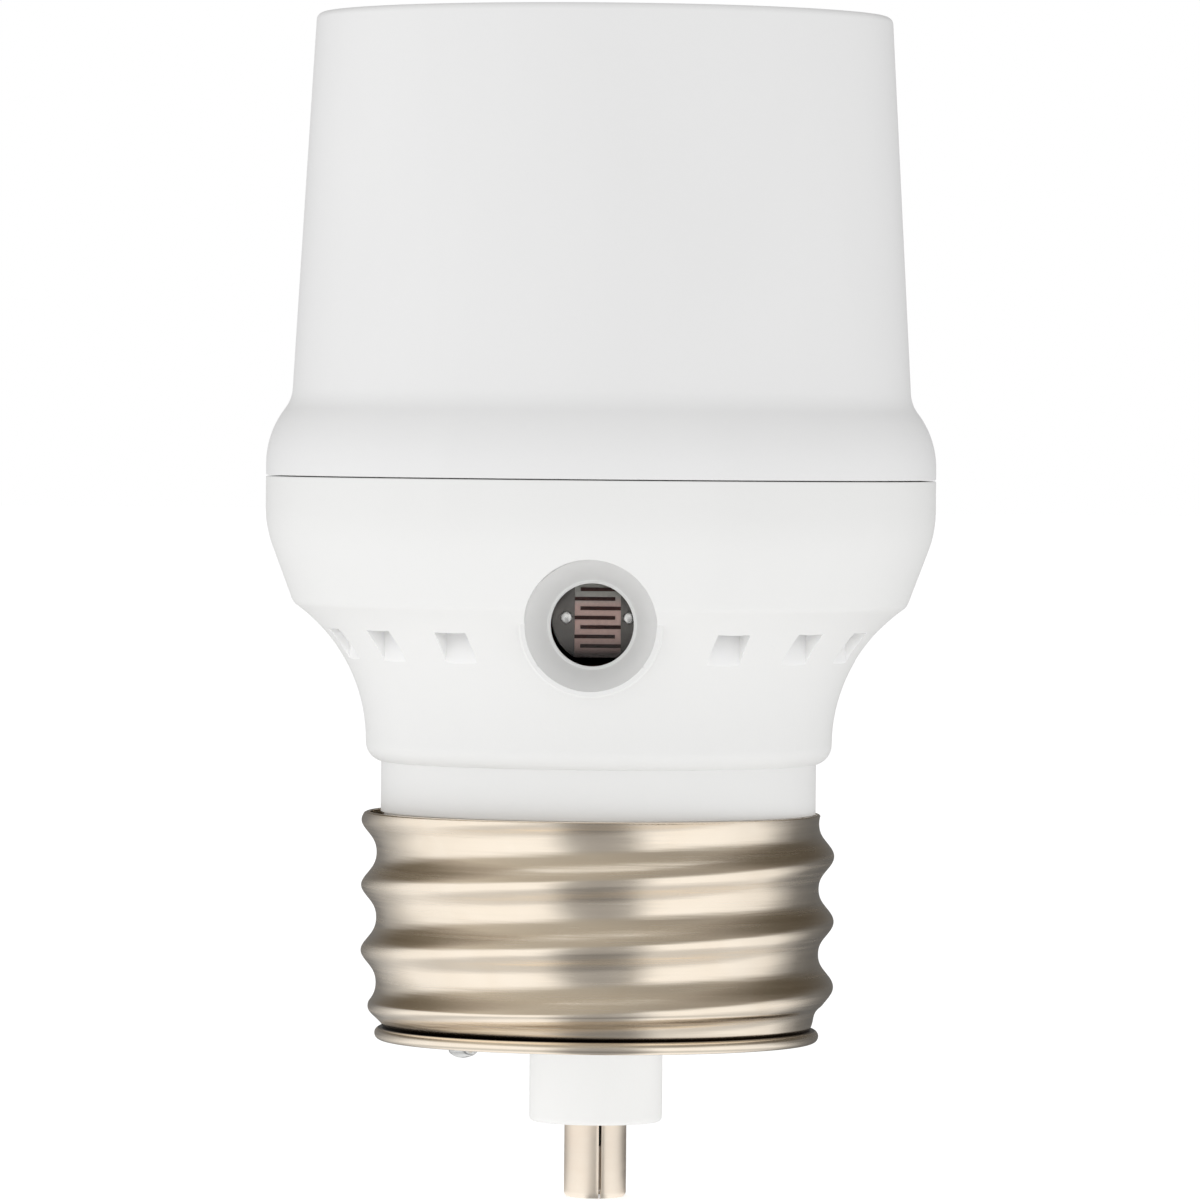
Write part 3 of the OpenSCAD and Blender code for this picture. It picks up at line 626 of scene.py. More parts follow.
def rolled(name, colour, shade, rough, painted_groove_shade=None):
    """Plated sheet that was rolled into shape: fine lines round the axis, faint clouds in the plating.

    The last argument is the range of heights in millimetres where painted shade darkens a narrow groove, most
    on its left.
    """
    f = Finish(name, Metallic=1.0)
    lines = f.noise(f.stretched(70, 70, 5200), detail=2.0, roughness=0.6)
    bands = f.noise(f.stretched(150, 150, 2500), detail=2.0)
    cloud = f.noise(f.stretched(260, 260, 320), detail=4.0, distortion=0.8)
    plating = f.between(cloud, colour, shade)
    if painted_groove_shade:
        # Painted shade: the groove is darkened in the colour, heavier on the left
        reach = f.ranged(f.along("Z"), painted_groove_shade[0] * MM, painted_groove_shade[1] * MM)
        dark, faint_shade = (0.04, 0.033, 0.028, 1), (0.12, 0.1, 0.08, 1)
        heavy = f.ramp(reach, (0.0, WHITE), (0.12, dark), (0.5, dark), (1.0, WHITE))
        light = f.ramp(reach, (0.0, WHITE), (0.12, faint_shade), (0.4, faint_shade), (0.8, WHITE))
        side = f.ranged(f.along("X"), GROOVE_SHADE_HEAVY_X * MM, GROOVE_SHADE_LIGHT_X * MM)
        plating = f.times(plating, f.mixed(side, heavy, light))
    f.paint(plating)
    f.rough(lines, rough - 0.05, rough + 0.08)
    f.bump((bands, 0.019), (lines, 0.0015))
    return f.material


def dull_metal(name, colour, shade, rough, lumps=0.02):
    """Soft metal with an uneven skin, such as solder or an upset rivet."""
    f = Finish(name, Metallic=1.0)
    cloud = f.noise(f.stretched(900, 900, 900), detail=3.0, distortion=0.4)
    fine = f.noise(f.stretched(6000, 6000, 6000), detail=2.0)
    f.colour(cloud, colour, shade)
    f.rough(fine, rough - 0.06, rough + 0.1)
    f.bump((cloud, lumps), (fine, lumps / 8))
    return f.material


def speckled(name, colour, shade, rough, size=1400, relief=0.01):
    """A dull body with fine colour specks, such as epoxy, lacquer or pressed board."""
    f = Finish(name)
    specks = f.noise(f.stretched(size, size, size), detail=4.0, roughness=0.65)
    fine = f.noise(f.stretched(size * 4, size * 4, size * 4), detail=1.0)
    f.colour(specks, colour, shade)
    f.rough(fine, rough - 0.05, rough + 0.08)
    f.bump((specks, relief), (fine, relief / 4))
    return f.material


def cell_painted_shade(f):
    """Painted shade, darker towards the disc's foot where the throat shades it: a factor by height, and the
    height itself from 0 to 1.
    """
    middle = EYE_Z + CELL_DZ
    height = f.ranged(f.along("Z"), (middle - CELL_HALF_H) * MM, (middle + CELL_HALF_H) * MM)
    by_height = ((0.0, 0.04), (0.05, 0.06), (0.12, 0.34), (0.25, 0.7), (0.42, 0.92), (0.55, 1.0))
    return f.greys(height, by_height), height


def cell_ceramic():
    """The light-sensitive layer: brown, with painted shade at its foot and a painted reflection greying its
    top.
    """
    f = Finish("cell_ceramic", Specular_IOR_Level=0.1)
    specks = f.noise(f.stretched(5000, 5000, 5000), detail=4.0, roughness=0.65)
    layer = f.between(specks, srgb(222, 190, 183), srgb(238, 206, 198))
    shade, height = cell_painted_shade(f)
    # Painted reflection: the top of the layer is greyed, as a dark reflection in the coat
    top_reflection_tint = f.ramp(height, (0.64, WHITE), (0.78, (0.68, 0.95, 0.97, 1)))
    f.paint(f.times(f.times(layer, top_reflection_tint), shade))
    f.rough(specks, 0.45, 0.58)
    f.bump((specks, 0.004))
    return f.material


def cell_metal():
    """Evaporated film: dark grey pads, and fingers with painted shade along their narrow edges; painted shade
    at the foot.
    """
    f = Finish("cell_metal", Metallic=0.2, Specular_IOR_Level=0.1)
    cloud = f.noise(f.stretched(1500, 1500, 1500), detail=3.0)
    fine = f.noise(f.stretched(9000, 9000, 9000), detail=1.0)
    pads = f.between(cloud, srgb(116, 113, 110), srgb(129, 126, 123))
    # Painted shade: the fingers are the pads' film, coloured darker for the shade along their narrow edges
    painted_shade_fingers = f.between(cloud, srgb(52, 26, 22), srgb(62, 34, 28))
    inside = f.math("COMPARE", f.along("X"), CELL_DX * MM, TRACK_W / 2 * MM)
    f.paint(f.times(f.mixed(inside, pads, painted_shade_fingers), cell_painted_shade(f)[0]))
    f.rough(fine, 0.3, 0.42)
    f.bump((fine, 0.001))
    return f.material


def clear_resin():
    """Clear coat over the photocell, with the slight waves of a poured skin."""
    f = Finish("clear_resin", IOR=1.25, Transmission_Weight=1.0)
    waves = f.noise(f.stretched(500, 500, 500), detail=1.0)
    f.colour(waves, (0.96, 0.95, 0.94, 1), WHITE)
    f.rough(waves, 0.02, 0.05)
    f.bump((waves, 0.02))
    return f.material


CUP = moulded("cup_plastic", srgb(233, 233, 233), srgb(235, 235, 235), 0.42, Specular_IOR_Level=0.15)
HOUSING = moulded("housing_plastic", srgb(235, 235, 234), srgb(237, 237, 236), 0.42, Specular_IOR_Level=0.15)
# Painted light: the vent walls take a lighter, translucent copy of the housing plastic, which lifts the shade
# in the vents
VENT_WALL_PAINTED_LIGHT = moulded("vent_plastic_painted_light", srgb(248, 248, 247), srgb(250, 250, 249), 0.5, Specular_IOR_Level=0.3,
                    Subsurface_Weight=0.6, Subsurface_Radius=(1.0, 1.0, 0.95), Subsurface_Scale=MM)
PLUG = moulded("plug_plastic", srgb(242, 242, 241), srgb(244, 244, 243), 0.5, Specular_IOR_Level=0.2)
# The base's nickel carries painted shade in the groove above its lip
NICKEL = rolled("nickel_sheet", (0.92, 0.81, 0.67, 1), (0.95, 0.85, 0.72, 1), 0.21,
                painted_groove_shade=(Z_GROOVE - 0.06, Z_GROOVE + 0.3))
PIN_NICKEL = rolled("pin_nickel", (0.96, 0.84, 0.71, 1), (0.98, 0.89, 0.77, 1), 0.42)
SOLDER = dull_metal("solder", (0.66, 0.66, 0.65, 1), (0.78, 0.78, 0.77, 1), 0.28)
SOCKET_METAL = rolled("socket_metal", (0.80, 0.79, 0.77, 1), (0.86, 0.85, 0.83, 1), 0.27)
SPRING = rolled("spring_brass", (0.74, 0.55, 0.24, 1), (0.82, 0.63, 0.31, 1), 0.25)
RIVET = dull_metal("rivet_brass", (0.66, 0.48, 0.20, 1), (0.76, 0.58, 0.28, 1), 0.3, lumps=0.006)
# Painted shade: the solder in the pin is coloured darker and browner, for the shade in the seam slit
PIN_FILL_SHADED = dull_metal("pin_solder", (0.5, 0.45, 0.4, 1), (0.6, 0.54, 0.48, 1), 0.5)
TINNED = dull_metal("tinned_wire", (0.74, 0.74, 0.73, 1), (0.84, 0.84, 0.83, 1), 0.25, lumps=0.004)
CELL_TRACK = cell_ceramic()
FILM = cell_metal()
RESIN = clear_resin()


# Shroud: cup, flare and spigot in one piece

def shroud_loop():
    skirt = (BAND_R, Z_SKIRT)
    return (
        [(MOUTH_R, Z_MOUTH), (CUP_BORE_R, Z_MOUTH), (CUP_BORE_R, Z_SHOULDER), (RECESS_R, Z_SHOULDER),
         (RECESS_R, Z_SEAM - SPIGOT_LEN), (SPIGOT_R, Z_SEAM - SPIGOT_LEN), (SPIGOT_R, Z_SKIRT)]
        + rounded((SPIGOT_R, Z_SKIRT), skirt, (BAND_R, Z_FLARE), SEAM_EDGE)
        + arc((BAND_R - FLARE_R, Z_FLARE), FLARE_R, 0, FLARE_ANGLE)
        + arc((KINK_R + FILLET_R * cos(CUP_DRAFT), Z_KINK + FILLET_R * sin(CUP_DRAFT)), FILLET_R,
              180 + FLARE_ANGLE, 180 + CUP_DRAFT)
        + arc((RIM_R - RIM_ROUND, Z_RIM - RIM_ROUND), RIM_ROUND, CUP_DRAFT, 90, step=12)
        + arc((MOUTH_R + RIM_ROUND, Z_RIM - RIM_ROUND), RIM_ROUND, 90, 180, step=12))


shroud = smooth(lathe("shroud", shroud_loop()))
piece(shroud, CUP, "cup_plastic", "socket_shroud")


# Lower housing: sleeve, neck, collar, cove, bulge and band, with the window and the vents

def housing_loop():
    collar_x = COLLAR_R - COLLAR_ROUND
    foot = -math.degrees(math.acos((NECK_R - collar_x) / COLLAR_ROUND))
    cove = arc((COVE_X, Z_COVE), COVE_R, 180, 180 - math.degrees(math.asin(COVE_H / COVE_R)))
    belly = arc((BAND_R - BELLY_R, Z_BAND), BELLY_R, -CONE_ANGLE, 0)
    corner = rounded(cove[-2], (EDGE_R, Z_EDGE), belly[0], BULGE_EDGE)
    inner_cove = arc((COVE_X, Z_COVE), HOLLOW_COVE_R, 180,
                     180 - math.degrees(math.asin(HOLLOW_MEET / HOLLOW_COVE_R)))
    inner_belly = arc((BAND_R - BELLY_R, Z_BAND), BELLY_R - WALL, -CONE_ANGLE, 0)
    inside = (BAND_R - WALL, Z_SEAM)
    return (
        [(SLEEVE_BORE_R, Z_SLEEVE), (SLEEVE_R, Z_SLEEVE), (SLEEVE_R, Z_BASE_TOP), (NECK_R, Z_BASE_TOP)]
        + arc((collar_x, Z_COVE), COLLAR_ROUND, foot, 0)[:-1]
        + cove[:-1] + corner + belly
        + rounded((BAND_R, Z_BAND), (BAND_R, Z_SEAM), inside, SEAM_EDGE)
        + [inside] + inner_belly[::-1] + inner_cove[::-1] + [(SLEEVE_BORE_R, Z_COVE)])


def eye_cutter():
    """The window's inside, turned about its own axis: mouth, funnel, throat and pocket."""
    far = EYE_Y + EYE_REACH
    land = (THROAT_R + EYE_LAND, THROAT_Y)
    throat = (THROAT_R, THROAT_Y)
    back = BOSS_END_Y - PAST
    loop = ([(0, far), (EYE_R, far)]
            + rounded((EYE_R, far), (EYE_R, EYE_Y), land, MOUTH_EDGE)
            + rounded((EYE_R, EYE_Y), land, throat, LAND_EDGE)
            + rounded(land, throat, (THROAT_R, CELL_Y), THROAT_EDGE)
            + [(THROAT_R, CELL_Y), (POCKET_R, CELL_Y), (POCKET_R, back), (0, back)])
    return level(lathe("eye_cutter", loop, FINE_STEPS), EYE_Z)


def vent_cutter():
    low = (VENT_INNER_R, -VENT_W / 2, Z_COVE)
    high = (VENT_OUTER_R, VENT_W / 2, Z_COVE + COVE_H + WALL)
    return joined("vent_cutter", [box(low, high, turn) for turn in VENT_TURNS])


def on_vent_wall(p, near=0.005):
    """Whether a point in millimetres lies on one of the walls that the vents leave."""
    for turn in VENT_TURNS:
        out = p.x * cos(turn) + p.y * sin(turn)
        off = abs(p.y * cos(turn) - p.x * sin(turn))
        if VENT_INNER_R - near < out < VENT_OUTER_R + near and off < VENT_W / 2 + near:
            return min(abs(out - VENT_OUTER_R), abs(out - VENT_INNER_R), abs(off - VENT_W / 2)) < near
    return False


def boss():
    loop = [(0, BOSS_END_Y), (BOSS_R, BOSS_END_Y), (BOSS_R, EYE_Y - BOSS_EDGE), (BOSS_R - BOSS_EDGE, EYE_Y),
            (0, EYE_Y)]
    return level(lathe("boss", loop, FINE_STEPS), EYE_Z)


def posts():
    """The four posts that carry the board and press on the socket base, let into the wall."""
    z_foot = Z_COVE + POST_FOOT_H
    side = [(POST_R - POST_LEDGE, z_foot), (POST_R - POST_FOOT_IN, z_foot),
            (EDGE_R - POST_EDGE_IN, Z_EDGE + POST_EDGE_RISE), (BAND_R - POST_BAND_IN, Z_BOARD),
            (POST_R + POST_T, Z_BOARD), (POST_R + POST_T, Z_DISC), (POST_R, Z_DISC),
            (POST_R, Z_BOARD), (POST_R - POST_LEDGE, Z_BOARD)]
    n = len(side)
    shapes = []
    for i in POST_PLACES:
        a = 270 + i * VENT_STEP
        points = [(r * cos(a) - v * sin(a), r * sin(a) + v * cos(a), z)
                  for v in (-POST_W / 2, POST_W / 2) for r, z in side]
        shapes.append((points, [tuple(range(n)), tuple(range(n, 2 * n))[::-1]] + skin(2, n)))
    return joined("posts", shapes)


housing = lathe("housing", housing_loop())
cut(housing, boss(), "UNION")
cut(housing, posts(), "UNION")
cut(housing, eye_cutter())
cut(housing, vent_cutter())
cut(housing, pillar("channel", *NEUTRAL_AT, WIRE_R + SLIP, Z_SLEEVE - PAST, Z_COVE + PAST))
smooth(housing)
piece(housing, HOUSING, "housing_plastic", "lower_housing")
# The vent walls take the lighter plastic: painted light in the vents
housing.data.materials.append(VENT_WALL_PAINTED_LIGHT)
for face in housing.data.polygons:
    if on_vent_wall(face.center / MM):
        face.material_index = 1


# Screw base

def eased(t):
    """A soft step from 0 to 1."""
    t = min(max(t, 0.0), 1.0)
    return t * t * (3 - 2 * t)


def base_outline(rows=150):
    mean = BASE_MAJOR_R - THREAD_DEPTH / 2
    outer = []
    for i in range(rows + 1):
        z = Z_GROOVE + (Z_BASE_TOP - Z_GROOVE) * i / rows
        t = (z - Z_GROOVE) / RUN_OUT
        outer.append((GROOVE_R + (mean - GROOVE_R) * min(t, 1.0), z, eased(t) * THREAD_DEPTH / 2))
    bead = LIP_H / 2
    lip = [(r, z, 0.0) for r, z in arc((LIP_R - bead, Z_LIP + bead), bead, -90, 90, step=9)]
    inner = [(r - BASE_SHEET, z, wave) for r, z, wave in outer[::-1]]
    r, z, wave = outer.pop()
    half = BASE_SHEET / 2
    edge = [(r - half + x, z - half + y, wave) for x, y in arc((0, 0), half, 0, 180, step=15)]
    inner.pop(0)
    return ([(FLANGE_BORE_R, Z_LIP, 0.0)] + lip + outer + edge + inner
            + [(GROOVE_R - BASE_SHEET, Z_PLUG, 0.0), (FLANGE_BORE_R, Z_PLUG, 0.0)])


base_shell = smooth(swept("base_shell", base_outline(), Z_BASE_TOP), angle=50)
piece(base_shell, NICKEL, "nickel_sheet", "base_screw_shell")


def blob(name, x, y, z, r, h, seed, steps=48, rings=16):
    """A drop of solder that hangs under a face, a little uneven."""
    uneven_r, uneven_h = 0.14, 0.05
    lump_size, lump_turn = 1.3, 40
    points = []
    for k in range(rings + 1):
        t = k / rings * 90
        for i in range(steps):
            a = 360 * i / steps
            wobble = noise.noise(Vector((cos(a) * lump_size + seed, sin(a) * lump_size, t / lump_turn)))
            out = r * cos(t) * (1 - uneven_r + uneven_r * wobble)
            drop = h * sin(t) * (1 - uneven_h + uneven_h * wobble)
            points.append((x + out * cos(a), y + out * sin(a), z - drop))
    faces = skin(rings + 1, steps) + [tuple(range(steps))[::-1]]
    return smooth(tidy(make(name, points, faces), merge=0.001), angle=60)


lip_at = LIP_R - LIP_H / 4 - SOLDER_R
lip_solder = blob("lip_solder", lip_at * cos(SOLDER_ANGLE), lip_at * sin(SOLDER_ANGLE), Z_LIP,
                  SOLDER_R, SOLDER_H, seed=3.7)
piece(lip_solder, SOLDER, "solder", "neutral_solder")


# Plug with its stem, the rolled contact and the solder in its foot

def plug_loop():
    hole = PIN_R + PRESS
    foot = rounded((hole, PIN_LEN), (STEM_R, PIN_LEN), (STEM_R, Z_PLUG), STEM_BEVEL, steps=7)
    heel = rounded((STEM_R, PIN_LEN), (STEM_R, Z_PLUG), (PLUG_R, Z_PLUG), HEEL_ROUND)
    return ([(hole, PIN_LEN + PLUG_EDGE), (hole + PLUG_EDGE, PIN_LEN)] + foot + heel
            + [(PLUG_R, Z_PLUG), (PLUG_R, Z_SLEEVE), (hole, Z_SLEEVE)])


plug = lathe("plug", plug_loop(), FINE_STEPS)
cut(plug, pillar("wire_hole", *NEUTRAL_AT, WIRE_R + SLIP, Z_PLUG - PAST, Z_SLEEVE + PAST))
smooth(plug)
piece(plug, PLUG, "plug_plastic", "base_plug")


def rolled_pin(name, steps=120):
    """The contact: a sheet rolled round the axis, open at its seam, rounded at the tip and along the seam."""
    inner = PIN_R - PIN_SHEET
    loop = ([(inner, PIN_EDGE), (inner + PIN_EDGE, 0.0)]
            + arc((PIN_R - PIN_ROUND, PIN_ROUND), PIN_ROUND, -90, 0, step=10)
            + [(PIN_R, PIN_LEN), (PIN_R, Z_SLEEVE), (inner, Z_SLEEVE)])
    n = len(loop)
    middle = PIN_R - PIN_SHEET / 2
    half = math.degrees(math.asin(PIN_SEAM / 2 / PIN_R))
    points = []
    for k in range(steps + 1):
        ends = min(k, steps - k)
        shrink = SEAM_THIN[ends] if ends < len(SEAM_THIN) else 1.0
        a = PIN_SEAM_ANGLE + (half + (360 - 2 * half) * k / steps)
        for r, z in loop:
            q = middle + (r - middle) * shrink
            points.append((q * cos(a), q * sin(a), z))
    faces = skin(steps + 1, n)
    faces += [tuple(range(n)), tuple(range(steps * n, (steps + 1) * n))[::-1]]
    return smooth(tidy(make(name, points, faces)), angle=40)


pin = rolled_pin("pin")
piece(pin, PIN_NICKEL, "pin_nickel", "contact_pin")


def pin_fill_loop(steps=12):
    r = PIN_R - PIN_SHEET
    z_top = PIN_ROUND + PIN_SOLDER_H
    dish = [(r * k / steps, PIN_ROUND + FILL_DISH * (k / steps) ** 2) for k in range(steps + 1)]
    return dish + [(r, z_top), (0, z_top)]


pin_fill = smooth(lathe("pin_fill", pin_fill_loop(), 72))
piece(pin_fill, PIN_FILL_SHADED, "solder", "pin_solder")


# Lamp socket, seen from above

def socket_outline(rows=190):
    z_foot = Z_SHOULDER + SOCKET_SHEET
    z_top = Z_SHOULDER + SOCKET_LEN
    inner = []
    for i in range(rows + 1):
        z = z_top - (z_top - z_foot) * i / rows
        w = eased((z - z_foot) / THREAD_FADE)
        inner.append((SOCKET_MINOR_R + w * THREAD_DEPTH / 2, z, w * THREAD_DEPTH / 2))
    outer = [(r + SOCKET_SHEET, z, wave) for r, z, wave in inner[::-1]]
    flange_r = SOCKET_MINOR_R - SOCKET_FLANGE
    return ([(flange_r, Z_SHOULDER, 0.0), (SOCKET_MINOR_R + SOCKET_SHEET, Z_SHOULDER, 0.0)]
            + outer + inner + [(flange_r, z_foot, 0.0)])


lamp_shell = swept("lamp_shell", socket_outline(), Z_SHOULDER + SOCKET_LEN, steps=180)
for x in (-SHELL_RIVET_X, SHELL_RIVET_X):
    cut(lamp_shell, pillar("stud_hole", x, 0, RIVET_R + PRESS, Z_SHOULDER - PAST, Z_SHOULDER + PAST))
smooth(lamp_shell, angle=50)
piece(lamp_shell, SOCKET_METAL, "socket_metal", "socket_screw_shell")


def stud_loop(stack):
    """A rivet's outline: domed head on the stack, shank, and upset tail under the disc."""
    z_head = Z_DISC + stack
    dome = [(RIVET_HEAD_R * cos(t), RIVET_HEAD_H * (HEAD_WALL + (1 - HEAD_WALL) * sin(t)))
            for t in range(0, 91, 9)]
    head = [(r, z_head + h) for r, h in dome]
    tail = [(r, Z_DISC - h) for r, h in dome[::-1]]
    shank = [(RIVET_HEAD_R, Z_DISC), (RIVET_R, Z_DISC), (RIVET_R, z_head), (RIVET_HEAD_R, z_head)]
    return tail + shank + head


def studs(name, stack, places):
    """Rivets at several places, as one mesh."""
    bm = bmesh.new()
    for x, y in places:
        made = moved(lathe(name + "_part", stud_loop(stack), steps=64), x, y)
        bm.from_mesh(made.data)
        bpy.data.objects.remove(made)
    whole = make(name, [], [])
    bm.to_mesh(whole.data)
    bm.free()
    return smooth(whole, angle=40)


contact_stud = studs("contact_stud", DISC_T + TONGUE_T, [(0, TONGUE_RIVET_Y)])
piece(contact_stud, RIVET, "rivet_brass", "contact_rivet")
shell_studs = studs("shell_studs", DISC_T + SOCKET_SHEET, [(SHELL_RIVET_X, 0), (-SHELL_RIVET_X, 0)])
piece(shell_studs, RIVET, "rivet_brass", "shell_rivets")


def tongue_line():
    """The middle of the lamp contact's underside (y, z over the shoulder), in short steps."""
    toe = (TONGUE_RIVET_Y + RIVET_HEAD_R + TONGUE_T, 0.0)
    heel = (TONGUE_RIVET_Y - RIVET_HEAD_R - TONGUE_T, 0.0)
    crown = (-TONGUE_REACH, TONGUE_RISE - TONGUE_T)
    tip = (-TONGUE_REACH - TONGUE_REACH, TONGUE_RISE - TONGUE_REACH / 2)
    path = [toe] + rounded(toe, heel, crown, HEEL_BEND, 8) + rounded(heel, crown, tip, TIP_BEND, 8) + [tip]
    line = []
    for (y0, z0), (y1, z1) in zip(path, path[1:]):
        steps = max(1, int(math.hypot(y1 - y0, z1 - z0) / TONGUE_STEP))
        line += [(y0 + (y1 - y0) * i / steps, z0 + (z1 - z0) * i / steps) for i in range(steps)]
    return line + [tip]


def tongue(name, across=16):
    """The lamp contact: a strip bent up from its foot, with rounded bends and a rounded tip."""
    line = tongue_line()
    lengths = [0.0]
    for (y0, z0), (y1, z1) in zip(line, line[1:]):
        lengths.append(lengths[-1] + math.hypot(y1 - y0, z1 - z0))
    points = []
    for (y, z), run in zip(line, lengths):
        end = min(run, lengths[-1] - run, TONGUE_CORNER)
        pull = TONGUE_CORNER - math.sqrt(TONGUE_CORNER ** 2 - (TONGUE_CORNER - end) ** 2)
        half = TONGUE_W / 2 - pull
        for lift in (0.0, TONGUE_T):
            points += [(-half + 2 * half * k / across, y, Z_SHOULDER + z + lift) for k in range(across + 1)]
    top = across + 1
    row = 2 * top
    faces = []
    for a in range(0, len(points) - row, row):
        b = a + row
        for k in range(across):
            faces.append((a + k, b + k, b + k + 1, a + k + 1))
            faces.append((a + top + k, a + top + k + 1, b + top + k + 1, b + top + k))
        faces.append((a, a + top, b + top, b))
        faces.append((a + across, b + across, b + row - 1, a + row - 1))
    for a in (0, len(points) - row):
        faces += [(a + k, a + k + 1, a + top + k + 1, a + top + k) for k in range(across)]
    made = tidy(make(name, points, faces))
    hole = pillar("stud_hole", 0, TONGUE_RIVET_Y, RIVET_R + PRESS, Z_SHOULDER - PAST, Z_SHOULDER + 2 * PAST)
    return smooth(cut(made, hole), angle=35)


lamp_contact = tongue("lamp_contact")
piece(lamp_contact, SPRING, "spring_brass", "socket_contact")


# Photocell

def on_cell(u, y, v):
    """A point at u, v from the photocell's centre, y out from the axis."""
    return (u + CELL_DX, -y, v + EYE_Z + CELL_DZ)


def plate(name, outline, y_back, y_front):
    """A flat outline (u, v) about the photocell's centre, thick along -Y."""
    n = len(outline)
    points = [on_cell(u, y, v) for y in (y_back, y_front) for u, v in outline]
    faces = [tuple(range(n))[::-1], tuple(range(n, 2 * n))] + skin(2, n)
    return tidy(make(name, points, faces))


def cell_outline(r, half_h):
    """A circle with a flat above and below."""
    end = math.degrees(math.asin(half_h / r))
    right = arc((0, 0), r, -end, end)
    return right + [(-x, -z) for x, z in right]


def comb_outline(side):
    """One electrode: the rest of the face beside the track, and its fingers between the bars."""
    margin = SLIP / 2
    r, half_h = CELL_R - margin, CELL_HALF_H - margin
    edge = TRACK_W / 2
    tip = TRACK_STEP - FINGER_W - edge
    end = math.degrees(math.asin(half_h / r))
    outline = [(edge, -half_h)] + arc((0, 0), r, -end, end) + [(edge, half_h)]
    fingers = [(i - (FINGERS - 1) / 2) * TRACK_STEP * side for i in range(FINGERS) if (-1) ** i == side]
    for v in sorted(fingers, reverse=True):
        upper, lower = v + FINGER_W / 2, v - FINGER_W / 2
        outline += [(edge, upper), (tip, upper), (tip, lower), (edge, lower)]
    return [(side * x, side * v) for x, v in outline]


cell_body = smooth(plate("cell_body", cell_outline(CELL_R, CELL_HALF_H), CERAMIC_Y - CELL_T, CERAMIC_Y))
piece(cell_body, CELL_TRACK, "cell_ceramic", "photocell_disc")

for side, name in ((-1, "cell_comb_left"), (1, "cell_comb_right")):
    comb = smooth(plate(name, comb_outline(side), CERAMIC_Y, FILM_Y))
    piece(comb, FILM, "cell_metal", "photocell_electrodes")


def resin_skin(name, rings=10):
    """The clear coat: flat behind, with a soft dome in front that thins towards the rim."""
    rim = cell_outline(CELL_R, CELL_HALF_H)
    n = len(rim)
    points = [on_cell(u, FILM_Y + COAT_CLEAR, v) for u, v in rim]
    for k in range(rings + 1):
        share = math.cos(math.pi / 2 * k / rings)
        lift = COAT_T * (RESIN_RIM + (1 - RESIN_RIM) * math.sin(math.pi / 2 * k / rings))
        points += [on_cell(u * share, FILM_Y + lift, v * share) for u, v in rim]
    faces = [tuple(range(n))] + skin(rings + 2, n)
    return smooth(tidy(make(name, points, faces), merge=0.002), angle=50)


cell_resin = resin_skin("cell_resin")
piece(cell_resin, RESIN, "clear_resin", "photocell_coat")


def lead_end(name, u):
    """The upset end of a lead, a low bright dome on the film."""
    loop = [(0, FILM_Y - LEAD_ROOT), (LEAD_R, FILM_Y - LEAD_ROOT)]
    loop += [(LEAD_R * LEAD_SPREAD * cos(t), FILM_Y + LEAD_DOME * sin(t)) for t in range(0, 91, 10)]
    return smooth(level(lathe(name, loop, steps=40), EYE_Z + CELL_DZ, u + CELL_DX), angle=50)


for side, name in ((-1, "cell_lead_left"), (1, "cell_lead_right")):
    piece(lead_end(name, side * LEAD_PITCH / 2), TINNED, "tinned_wire")


# Nodes that keep their own shape

NODE_FINISH = {
    "socket_base": speckled("insulator", srgb(206, 199, 182), srgb(219, 212, 196), 0.55),
    "circuit_board": speckled("board_green", srgb(22, 76, 40), srgb(32, 96, 52), 0.4),
    "photocell_leads": TINNED,
    "thyristor": speckled("black_epoxy", srgb(24, 24, 25), srgb(36, 36, 37), 0.5),
    "driver_transistor": speckled("driver_epoxy", srgb(26, 26, 26), srgb(38, 38, 38), 0.5),
    "dropper_capacitor": speckled("cap_red", srgb(118, 34, 24), srgb(138, 44, 30), 0.35),
    "smoothing_capacitor": speckled("cap_sleeve", srgb(22, 28, 58), srgb(30, 38, 72), 0.35),
    "rectifier_diodes": speckled("diode_black", srgb(26, 26, 27), srgb(40, 40, 41), 0.5),
    "zener_diode": speckled("zener_amber", srgb(150, 72, 28), srgb(176, 92, 40), 0.25),
    "resistors": speckled("resistor_tan", srgb(184, 152, 112), srgb(202, 172, 132), 0.5),
    "solder_joints": SOLDER,
    "live_wire": speckled("wire_black", srgb(26, 26, 26), srgb(38, 38, 38), 0.45),
    "neutral_wire": speckled("wire_white", srgb(218, 218, 214), srgb(228, 228, 224), 0.45),
    "load_wire": speckled("wire_red", srgb(140, 26, 20), srgb(158, 36, 28), 0.45),
    "return_wire": speckled("return_white", srgb(218, 218, 214), srgb(228, 228, 224), 0.45),
}
for name, material in NODE_FINISH.items():
    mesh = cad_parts[name].data
    mesh.materials.clear()
    mesh.materials.append(material)


# Camera, at the photo's place

AXIS_DISTANCE = 503
CAMERA_AZIMUTH = 1.8
CAMERA_Z = 42.9
AIM_Z = 33.2
CAMERA_ROLL = 0.5
FOCAL = 271.5
SENSOR = 36

camera_data = bpy.data.cameras.new("camera")
camera_data.sensor_width = SENSOR
camera_data.lens = FOCAL
camera_data.clip_start = 0.01
camera_data.clip_end = 20
camera = placed("camera", camera_data)
camera.location = Vector((AXIS_DISTANCE * sin(CAMERA_AZIMUTH), -AXIS_DISTANCE * cos(CAMERA_AZIMUTH),
                          CAMERA_Z)) * MM
aim = Vector((0, 0, AIM_Z * MM)) - camera.location
camera.rotation_mode = "QUATERNION"
camera.rotation_quaternion = (aim.to_track_quat("-Z", "Y").to_matrix()
                              @ Matrix.Rotation(math.radians(CAMERA_ROLL), 3, "Z")).to_quaternion()
bpy.context.scene.camera = camera


# Stage and light

